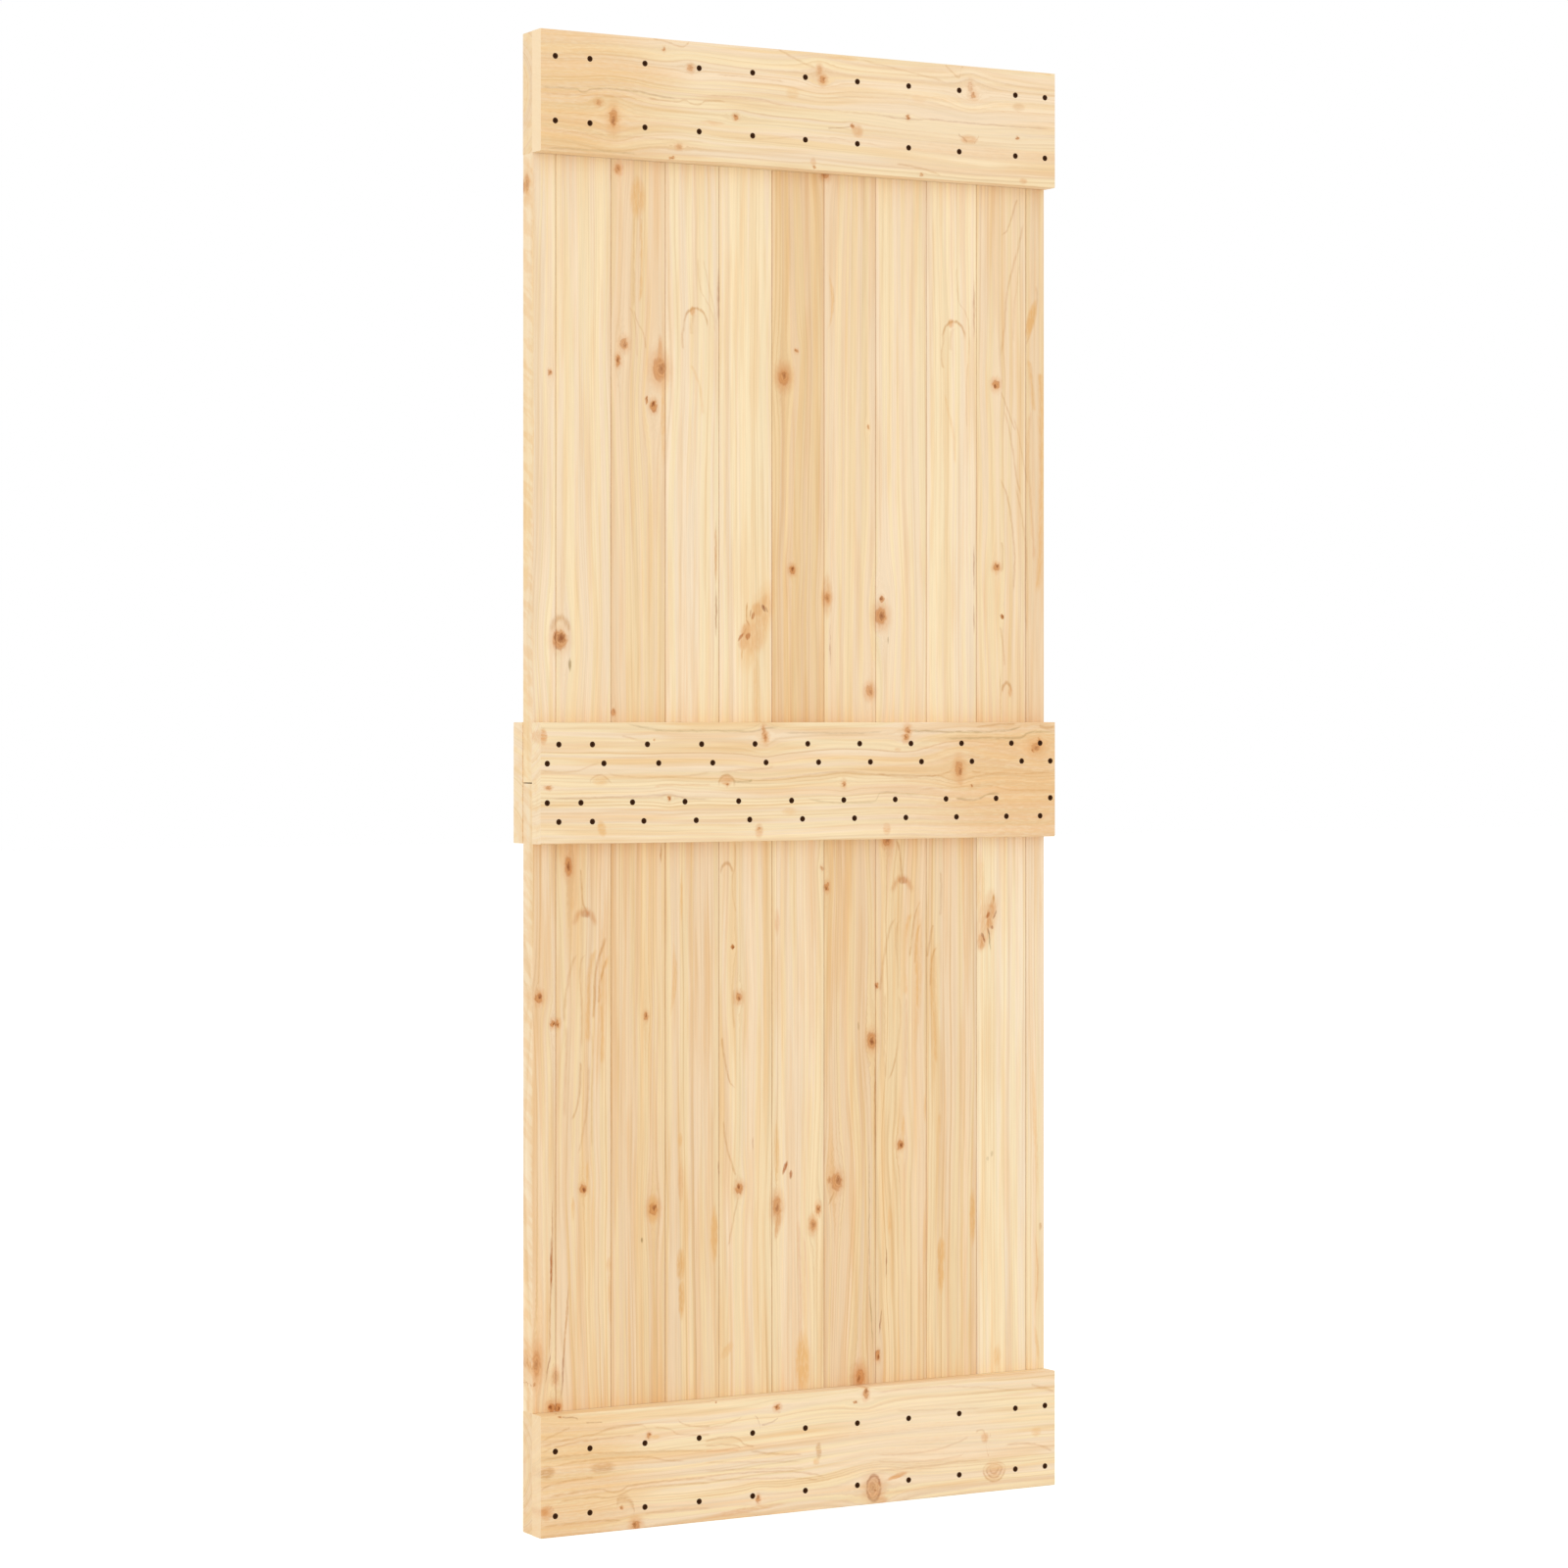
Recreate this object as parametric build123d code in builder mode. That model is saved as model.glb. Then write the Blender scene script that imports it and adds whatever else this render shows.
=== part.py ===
from build123d import *

import os

# A board-and-ledge sliding door leaf in pine, 850 x 2100 mm.
# Two courses of tongued-and-grooved boards meet at mid-height, and their outer
# ends are tongued into a top and a bottom rail. Ledges are screwed across the
# front at the top, middle and bottom, and one more lies behind the middle.
# X runs along the width and Z up, and the front of the door looks to -Y. The
# origin is the centre of the top ledge's front face, where the hangers go on.

# Overall sizes, millimetres
door_width = 850.0
door_height = 2100.0

# Ledges: planks laid flat across the boards
ledge_height = 170.0
ledge_thickness = 28.0
ledge_arris = 1.5

# The leaf: the board layer with its two rails, which the ledges just cover
leaf_thickness = 31.0
leaf_inset = 1.0
rail_height = ledge_height
rail_arris = 1.0

# Boards
board_pitch = 86.65
left_board_width = 36.0
least_board_width = 24.0
board_gap = 0.3
board_arris = 0.9
course_gap = 1.5

# Tongue and groove along the boards' long edges
tongue_length = 7.0
tongue_thickness = 8.0
tongue_chamfer = 1.2
groove_end_clearance = 1.0
groove_side_clearance = 0.2

# Stub tongues on the boards' outer ends, in stopped grooves in the rails
end_tongue_length = 14.0
end_tongue_thickness = 10.0
end_groove_clearance = 0.2
end_groove_floor = 1.0
end_groove_stop = 14.0

# Countersinks in the front ledges: a screw's head seats there, and its shank fills the rest
countersink_diameter = 8.8
countersink_depth = 2.4
countersink_slope = 45.0
countersink_sides = 12

# Outer ledges: two rows, with the columns set out from both ends of the ledge
row_spacing = 90.0
top_row_margin = 37.0
bottom_row_margin = 29.5
outer_column_left = 22.5
inner_column_left = 76.4
outer_column_right = 17.6
inner_column_right = 69.5

# Middle ledge: each board has a slanted pair of screws in either course
far_row = 54.0
near_row = 27.4
pair_spread = 18.0
lower_pair_shift = 8.7
lower_pair_step = 5.6

# Where the layers lie, front to back
leaf_front = ledge_thickness
leaf_back = leaf_front + leaf_thickness
leaf_middle = (leaf_front + leaf_back) / 2

# Heights, from the origin in the middle of the top ledge
top = ledge_height / 2
bottom = top - door_height
middle = (top + bottom) / 2

# The leaf's width, split into board joints from left to right
leaf_left = -door_width / 2 + leaf_inset
leaf_right = door_width / 2 - leaf_inset
first_joint = leaf_left + left_board_width
full_boards = int((leaf_right - first_joint - least_board_width) // board_pitch)
joints = [first_joint + board_pitch * step for step in range(full_boards + 1)]
board_edges = [leaf_left, *joints, leaf_right]
board_count = len(board_edges) - 1

board_centres = [(left + right) / 2 for left, right in zip(board_edges, board_edges[1:])]

groove_depth = tongue_length + groove_end_clearance - board_gap
groove_thickness = tongue_thickness + 2 * groove_side_clearance
end_groove_left = leaf_left + end_groove_stop
end_groove_right = leaf_right - end_groove_stop


def board(number, low, high, tongue_up):
    """One board of a course, from height low to high, counted from the left.

    The right edge has a tongue and the left edge a groove, but the outer edges
    of the two end boards are sawn plain. The stub tongue is on the upper end
    when tongue_up is true, else on the lower end.
    """
    first = number == 1
    last = number == board_count
    left = board_edges[number - 1] + (0 if first else board_gap / 2)
    right = board_edges[number] - (0 if last else board_gap / 2)

    with BuildPart() as piece:
        with BuildSketch(Plane.XY.offset(low)) as section:
            with Locations((left, leaf_front)):
                Rectangle(right - left, leaf_thickness, align=(Align.MIN, Align.MIN))
            chamfer(section.vertices(), board_arris)
            if not first:
                with Locations((left, leaf_middle)):
                    Rectangle(
                        groove_depth,
                        groove_thickness,
                        align=(Align.MIN, Align.CENTER),
                        mode=Mode.SUBTRACT,
                    )
        extrude(amount=high - low)

        if not last:
            with BuildSketch(Plane.XY.offset(low)) as tongue:
                with Locations((right, leaf_middle)):
                    Rectangle(tongue_length, tongue_thickness, align=(Align.MIN, Align.CENTER))
                chamfer(tongue.vertices().group_by(Axis.X)[-1], tongue_chamfer)
            extrude(amount=high - low)

        # The stub tongue stands in from the grooved edge and from the rails' stopped ends
        stub_left = end_groove_left + end_groove_clearance if first else left + groove_depth
        stub_right = end_groove_right - end_groove_clearance if last else right
        stub_foot = high if tongue_up else low
        stub_amount = end_tongue_length if tongue_up else -end_tongue_length
        with BuildSketch(Plane.XY.offset(stub_foot)):
            with Locations((stub_left, leaf_middle)):
                Rectangle(
                    stub_right - stub_left,
                    end_tongue_thickness,
                    align=(Align.MIN, Align.CENTER),
                )
        extrude(amount=stub_amount)
    return piece


def rail(low, groove_above):
    """A plank of the leaf's own thickness, edge to edge, grooved for the boards' ends."""
    high = low + rail_height
    with BuildPart() as piece:
        with BuildSketch(Plane.XY.offset(low)):
            with Locations((leaf_left, leaf_front)):
                Rectangle(
                    leaf_right - leaf_left, leaf_thickness, align=(Align.MIN, Align.MIN)
                )
        extrude(amount=rail_height)
        chamfer(piece.edges().filter_by(Axis.X), rail_arris)

        mouth = high if groove_above else low
        depth = end_tongue_length + end_groove_floor
        with BuildSketch(Plane.XY.offset(mouth)):
            with Locations((end_groove_left, leaf_middle)):
                Rectangle(
                    end_groove_right - end_groove_left,
                    end_tongue_thickness + 2 * end_groove_clearance,
                    align=(Align.MIN, Align.CENTER),
                )
        extrude(amount=-depth if groove_above else depth, mode=Mode.SUBTRACT)
    return piece


def ledge(low, front, screws=()):
    """A plank the door's full width, its long arrises rounded over.

    Each screw is a pair of X and Z, countersunk in the plank's front face.
    """
    with BuildPart() as piece:
        with BuildSketch(Plane.XY.offset(low)):
            with Locations((0, front)):
                Rectangle(door_width, ledge_thickness, align=(Align.CENTER, Align.MIN))
        extrude(amount=ledge_height)
        fillet(piece.edges().filter_by(Axis.X), ledge_arris)
        if screws:
            with BuildSketch(Plane.XZ.offset(-front)):
                with Locations(*screws):
                    RegularPolygon(countersink_diameter / 2, countersink_sides)
            extrude(amount=-countersink_depth, taper=countersink_slope, mode=Mode.SUBTRACT)
    return piece


def outer_ledge_screws(top_row):
    """Two rows: a column for each board, at the boards' pitch from the left but for the last two."""
    left_end = -door_width / 2
    right_end = door_width / 2
    columns = [left_end + outer_column_left]
    columns += [
        left_end + inner_column_left + board_pitch * step for step in range(full_boards - 1)
    ]
    columns += [right_end - inner_column_right, right_end - outer_column_right]
    return [(x, z) for z in (top_row, top_row - row_spacing) for x in columns]


def middle_ledge_screws():
    """Four rows: the far two miss the joint between the courses by more than the near two.

    A full board's near screw stands to one side of its far screw, right of it in
    the upper course and left of it in the lower one. In the narrow end boards the
    pair straddles the board's centre, with the near screw on the outer side.
    """
    screws = []
    for number, centre in enumerate(board_centres, start=1):
        for side in (1, -1):
            if number == 1:
                far, near = centre + pair_spread / 2, centre - pair_spread / 2
            elif number == board_count:
                far, near = centre - pair_spread / 2, centre + pair_spread / 2
            elif side > 0:
                far, near = centre, centre + pair_spread
            else:
                far = centre - min(lower_pair_shift, lower_pair_step * (number - 2))
                near = far - pair_spread
            screws.append((far, middle + side * far_row))
            screws.append((near, middle + side * near_row))
    return screws


os.makedirs("parts", exist_ok=True)


def write(piece, name):
    """Labels a finished piece and writes it under its node's name."""
    piece.part.label = name
    export_step(piece.part, f"parts/{name}.step")


# The two courses of boards
upper_low = middle + course_gap / 2
upper_high = top - rail_height
lower_low = bottom + rail_height
lower_high = middle - course_gap / 2
for number in range(1, board_count + 1):
    write(board(number, upper_low, upper_high, True), f"upper_board_{number:02d}")
    write(board(number, lower_low, lower_high, False), f"lower_board_{number:02d}")

# The rails that close the courses
write(rail(top - rail_height, False), "top_rail")
write(rail(bottom, True), "bottom_rail")

# The ledges that hold it all flat
top_screws = outer_ledge_screws(top - top_row_margin)
bottom_screws = outer_ledge_screws(bottom + bottom_row_margin + row_spacing)
middle_ledge_low = middle - ledge_height / 2
write(ledge(top - ledge_height, 0, top_screws), "top_ledge")
write(ledge(bottom, 0, bottom_screws), "bottom_ledge")
write(ledge(middle_ledge_low, 0, middle_ledge_screws()), "middle_ledge_front")
write(ledge(middle_ledge_low, leaf_back), "middle_ledge_back")
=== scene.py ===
"""A bare sliding door leaf in knotty pine: boards, rails and ledges, with its black screws."""

import math
import random
from typing import NamedTuple

import bmesh
import bpy
from bpy.props import FloatProperty, FloatVectorProperty, IntProperty, PointerProperty
from mathutils import Matrix, Vector


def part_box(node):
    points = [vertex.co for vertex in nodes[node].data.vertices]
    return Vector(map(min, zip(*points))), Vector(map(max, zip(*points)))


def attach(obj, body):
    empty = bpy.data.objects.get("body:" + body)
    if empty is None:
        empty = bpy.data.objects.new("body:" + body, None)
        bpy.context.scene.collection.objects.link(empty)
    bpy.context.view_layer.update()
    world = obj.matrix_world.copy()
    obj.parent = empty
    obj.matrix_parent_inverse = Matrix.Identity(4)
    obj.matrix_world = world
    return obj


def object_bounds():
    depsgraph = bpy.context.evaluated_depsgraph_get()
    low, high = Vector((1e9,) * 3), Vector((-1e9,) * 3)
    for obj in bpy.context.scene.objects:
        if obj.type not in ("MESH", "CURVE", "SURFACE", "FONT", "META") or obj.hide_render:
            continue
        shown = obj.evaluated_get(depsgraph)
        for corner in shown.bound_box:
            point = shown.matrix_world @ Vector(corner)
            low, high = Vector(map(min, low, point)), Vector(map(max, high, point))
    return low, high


bl_info = {
    "name": "Pine Sliding Door",
    "version": (1, 0, 0),
    "blender": (4, 5, 0),
    "location": "3D View > Sidebar > Pine Door",
    "description": "Finishes a boarded pine sliding door leaf and drives its screws",
    "category": "Object",
}

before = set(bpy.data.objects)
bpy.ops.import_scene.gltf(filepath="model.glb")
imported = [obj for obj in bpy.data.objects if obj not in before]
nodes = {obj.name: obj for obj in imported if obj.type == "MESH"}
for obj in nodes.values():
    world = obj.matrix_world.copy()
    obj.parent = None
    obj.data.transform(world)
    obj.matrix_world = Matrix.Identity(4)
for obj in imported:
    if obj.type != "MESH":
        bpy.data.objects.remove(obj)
cad_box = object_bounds()

MM = 0.001
UPPER_BOARDS = sorted(name for name in nodes if name.startswith("upper_board"))
LOWER_BOARDS = sorted(name for name in nodes if name.startswith("lower_board"))
RAILS = ["top_rail", "bottom_rail"]
SCREWED_LEDGES = ["top_ledge", "middle_ledge_front", "bottom_ledge"]


# Settings


def colour_setting(name, description, red, green, blue):
    """A colour as it is seen on a screen, each part from 0 to 255."""
    return FloatVectorProperty(
        name=name,
        description=description,
        subtype="COLOR_GAMMA",
        size=3,
        min=0.0,
        max=1.0,
        default=(red / 255, green / 255, blue / 255),
    )


def length_setting(name, description, metres):
    return FloatProperty(name=name, description=description, unit="LENGTH", default=metres, min=0.0)


def share_setting(name, description, share):
    """A number from 0 to 1."""
    return FloatProperty(name=name, description=description, default=share, min=0.0, max=1.0)


class PineSettings(bpy.types.PropertyGroup):
    """The wood's colours and figure."""

    cream: colour_setting("Cream", "Palest sapwood, a little yellow", 253, 233, 193)
    blush: colour_setting("Blush", "Sapwood with a faint pink cast", 251, 230, 199)
    latewood: colour_setting("Latewood", "The dark line that ends each year's ring", 224, 182, 126)
    honey: colour_setting("Honey", "Resin-rich wood round knots", 241, 197, 137)
    rose: colour_setting("Rose", "Pink-brown wood close to a knot", 232, 178, 124)
    tan: colour_setting("Tan", "Thin dark grain lines", 208, 152, 88)
    russet: colour_setting("Russet", "Red-brown resin pockets and bark lines", 168, 98, 54)
    moss: colour_setting("Moss", "Grey-green pin marks", 160, 132, 80)
    knot: colour_setting("Knot", "The body of a sound knot", 216, 148, 82)
    rim: colour_setting("Knot rim", "The line of bark round a knot", 186, 110, 50)
    heart: colour_setting("Knot heart", "The dark middle of a knot", 140, 72, 24)
    end_grain: colour_setting("End grain", "Sawn ends of rails and ledges", 254, 229, 190)
    depth: colour_setting("Deep tone", "What the darkest board is multiplied by", 243, 231, 216)
    bloom: share_setting("Bloom", "Honey in the broad bands of rings, on full figure", 0.3)
    patch: share_setting("Patches", "Honey in long patches, on full figure", 0.4)
    plain_patch: share_setting("Plain patches", "The same on wood with no figure", 0.18)
    saw: share_setting("Saw marks", "How plain the saw marks on upright edges are", 0.32)
    seam: share_setting("Seams", "How dark the boards' joints are", 0.22)
    relief: length_setting("Relief", "How far the latewood stands up from the planed face", 0.08 * MM)


class ScrewSettings(bpy.types.PropertyGroup):
    """The countersunk wood screws."""

    head_diameter: length_setting("Head diameter", "Across the head, at the wood's face", 8.48 * MM)
    neck_diameter: length_setting("Neck diameter", "Under the head, at the seat's foot", 3.9 * MM)
    head_height: length_setting("Head height", "From the face to the seat's foot", 2.25 * MM)
    sunk: length_setting("Sunk", "How far the head lies below the wood's face", 0.08 * MM)
    recess_span: length_setting("Recess span", "From tip to tip of the cross recess", 4.6 * MM)
    recess_slot: length_setting("Recess slot", "Width of each arm of the recess", 1.1 * MM)
    recess_depth: length_setting("Recess depth", "How deep the driver goes", 1.5 * MM)
    recess_floor: share_setting("Recess floor", "Its span, as a share of the mouth's", 0.45)
    lip: length_setting("Lip", "Width of the bevel round the head", 0.25 * MM)
    sides: IntProperty(name="Sides", description="Corners round the head", default=24, min=8)
    black: colour_setting("Phosphate", "The screws' black-brown coat", 60, 31, 5)
    crystals: FloatProperty(
        name="Crystals", description="Grains of the coat in a metre", default=900.0, min=1.0
    )


class StudioSettings(bpy.types.PropertyGroup):
    """The camera, the light and the floor."""

    eye: FloatVectorProperty(
        name="Eye",
        description="Where the camera stands",
        subtype="TRANSLATION",
        unit="LENGTH",
        default=(-3.0115, -5.2942, -0.8775),
    )
    heading: FloatProperty(
        name="Heading",
        description="The camera's turn to the right of the door's own axis",
        subtype="ANGLE",
        default=math.radians(29.326),
    )
    lens: FloatProperty(name="Lens", description="Focal length, mm", default=97.18, min=1.0)
    sensor: FloatProperty(name="Sensor", description="Sensor width, mm", default=36.0, min=1.0)
    rise: FloatProperty(name="Rise", description="Upward shift of the lens", default=-0.0405)
    daylight: share_setting("Daylight", "Strength of the even white light", 0.96)
    lamp_strength: FloatProperty(
        name="Lamp strength",
        description="Strength of the soft lamp at the front left, watts on each square metre",
        default=0.35,
        min=0.0,
    )
    lamp_angle: FloatProperty(
        name="Lamp angle",
        description="How wide the soft lamp looks from the door",
        subtype="ANGLE",
        default=math.radians(50),
    )
    lamp_place: FloatVectorProperty(
        name="Lamp place",
        description="The soft lamp shines from here to the top ledge",
        subtype="TRANSLATION",
        unit="LENGTH",
        default=(-2.8, -3.4, 0.4),
    )
    floor_size: length_setting("Floor size", "Across the floor", 60.0)
    floor_white: share_setting("Floor white", "How much light the floor gives back", 0.92)
    floor_glow: share_setting("Floor glow", "Light added to the floor where it is seen", 0.4)


# Shader building


class Value:
    """A socket of a shader tree, on which Python's arithmetic adds Math nodes."""

    def __init__(self, tree, socket):
        self.tree = tree
        self.socket = socket

    def math(self, operation, *others):
        return self.tree.add("ShaderNodeMath", {"operation": operation}, [self, *others])

    def __add__(self, other):
        return self.math("ADD", other)

    __radd__ = __add__

    def __sub__(self, other):
        return self.math("SUBTRACT", other)

    def __rsub__(self, other):
        return self.tree.add("ShaderNodeMath", {"operation": "SUBTRACT"}, [other, self])

    def __mul__(self, other):
        return self.math("MULTIPLY", other)

    __rmul__ = __mul__

    def __truediv__(self, other):
        return self.math("DIVIDE", other)

    def __rtruediv__(self, other):
        return self.tree.add("ShaderNodeMath", {"operation": "DIVIDE"}, [other, self])

    def fade(self, start, end):
        """0 at start and before it, 1 at end and past it, with a soft turn at both."""
        return self.tree.add(
            "ShaderNodeMapRange",
            {"interpolation_type": "SMOOTHSTEP"},
            {"Value": self, "From Min": start, "From Max": end},
        )


class Tree:
    """The nodes of a material or of a node group."""

    def __init__(self, node_tree):
        self.nodes = node_tree.nodes
        self.links = node_tree.links

    def node(self, kind, settings=None, values=()):
        """A node of any kind: its settings first, then the values or links of its sockets."""
        node = self.nodes.new(kind)
        for name, setting in (settings or {}).items():
            setattr(node, name, setting)
        pairs = values.items() if isinstance(values, dict) else enumerate(values)
        for key, value in pairs:
            self.join(node.inputs[key], value)
        return node

    def join(self, socket, value):
        if isinstance(value, Value):
            self.links.new(value.socket, socket)
        elif isinstance(value, bpy.types.NodeSocket):
            self.links.new(value, socket)
        else:
            socket.default_value = value

    def add(self, kind, settings=None, values=(), output=0):
        return Value(self, self.node(kind, settings, values).outputs[output])

    def vector(self, operation, *values, output=0):
        return self.add("ShaderNodeVectorMath", {"operation": operation}, values, output)

    def length(self, vector):
        return self.vector("LENGTH", vector, output="Value")

    def combine(self, x, y, z):
        return self.add("ShaderNodeCombineXYZ", None, [x, y, z])

    def split(self, vector):
        parts = self.node("ShaderNodeSeparateXYZ", None, [vector]).outputs
        return [Value(self, part) for part in parts]

    def noise(self, vector, detail=1.0, output="Fac"):
        return self.add(
            "ShaderNodeTexNoise",
            {"noise_dimensions": "3D"},
            {"Vector": vector, "Scale": 1.0, "Detail": detail},
            output,
        )

    def scale(self, vector, factor):
        values = {"Vector": vector, "Scale": factor}
        return self.add("ShaderNodeVectorMath", {"operation": "SCALE"}, values)

    def mix(self, factor, low, high):
        """A colour, from low at factor 0 to high at factor 1."""
        # A Mix node has sockets for numbers and vectors before those for colours
        values = {0: factor, 6: low, 7: high}
        return self.add("ShaderNodeMix", {"data_type": "RGBA"}, values, output=2)


def new_material(name):
    """A material with one Principled shader, and the tree of its nodes."""
    material = bpy.data.materials.new(name)
    material.use_nodes = True
    return material, Tree(material.node_tree)


class Group:
    """A node group made once, whose steps are the same wherever it is used.

    Its inputs are named in two strings, those that are vectors first, and steps takes them in
    that order and turns them into a dictionary of named outputs.
    """

    def __init__(self, name, vectors, numbers, steps):
        self.group = bpy.data.node_groups.new(name, "ShaderNodeTree")
        inputs = dict.fromkeys(vectors.split(), "NodeSocketVector")
        inputs.update(dict.fromkeys(numbers.split(), "NodeSocketFloat"))
        add_socket = self.group.interface.new_socket
        for key, kind in inputs.items():
            add_socket(key, in_out="INPUT", socket_type=kind)
        tree = Tree(self.group)
        source = tree.node("NodeGroupInput").outputs
        outputs = steps(tree, *(Value(tree, source[key]) for key in inputs))
        for key in outputs:
            add_socket(key, in_out="OUTPUT", socket_type="NodeSocketFloat")
        tree.node("NodeGroupOutput", None, outputs)

    def use(self, tree, values):
        """Adds the group to a tree, with values for its inputs by name, and gives its outputs."""
        node = tree.node("ShaderNodeGroup", {"node_tree": self.group}, values)
        return [Value(tree, socket) for socket in node.outputs]


def linear(setting):
    """A screen colour as the light it stands for."""
    parts = [
        part / 12.92 if part <= 0.04045 else ((part + 0.055) / 1.055) ** 2.4 for part in setting
    ]
    return (*parts, 1.0)


# Marks in the wood


class Knot(NamedTuple):
    """A knot: its middle from the door's middle and top ledge, its size across and along the grain.

    All in millimetres. Heart is how dark its middle is and halo how wide its stain, from 0 to 1.
    A knot runs right through its piece, unless depth gives its size there and y its middle.
    """

    x: float
    z: float
    width: float
    length: float
    heart: float = 0.6
    halo: float = 0.4
    y: float = 0.0
    depth: float = 10000.0


class Streak(NamedTuple):
    """A lens of another colour along the grain, in millimetres, leaning and bowed across it."""

    x: float
    z: float
    width: float
    length: float
    tone: str = "tan"
    strength: float = 0.5
    lean: float = 0.0
    bow: float = 0.0


class Arc(NamedTuple):
    """Half a loop of grain, in millimetres: an arch with its feet at z, or a cup if rise is below 0."""

    x: float
    z: float
    width: float
    rise: float
    line: float = 3.0
    tone: str = "tan"
    strength: float = 0.5

    @property
    def length(self):
        return 2 * abs(self.rise)


class Line(NamedTuple):
    """A thin line of grain through some places on the face, in millimetres."""

    places: list
    tone: str = "tan"
    strength: float = 0.33
    width: float = 2.5


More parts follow.
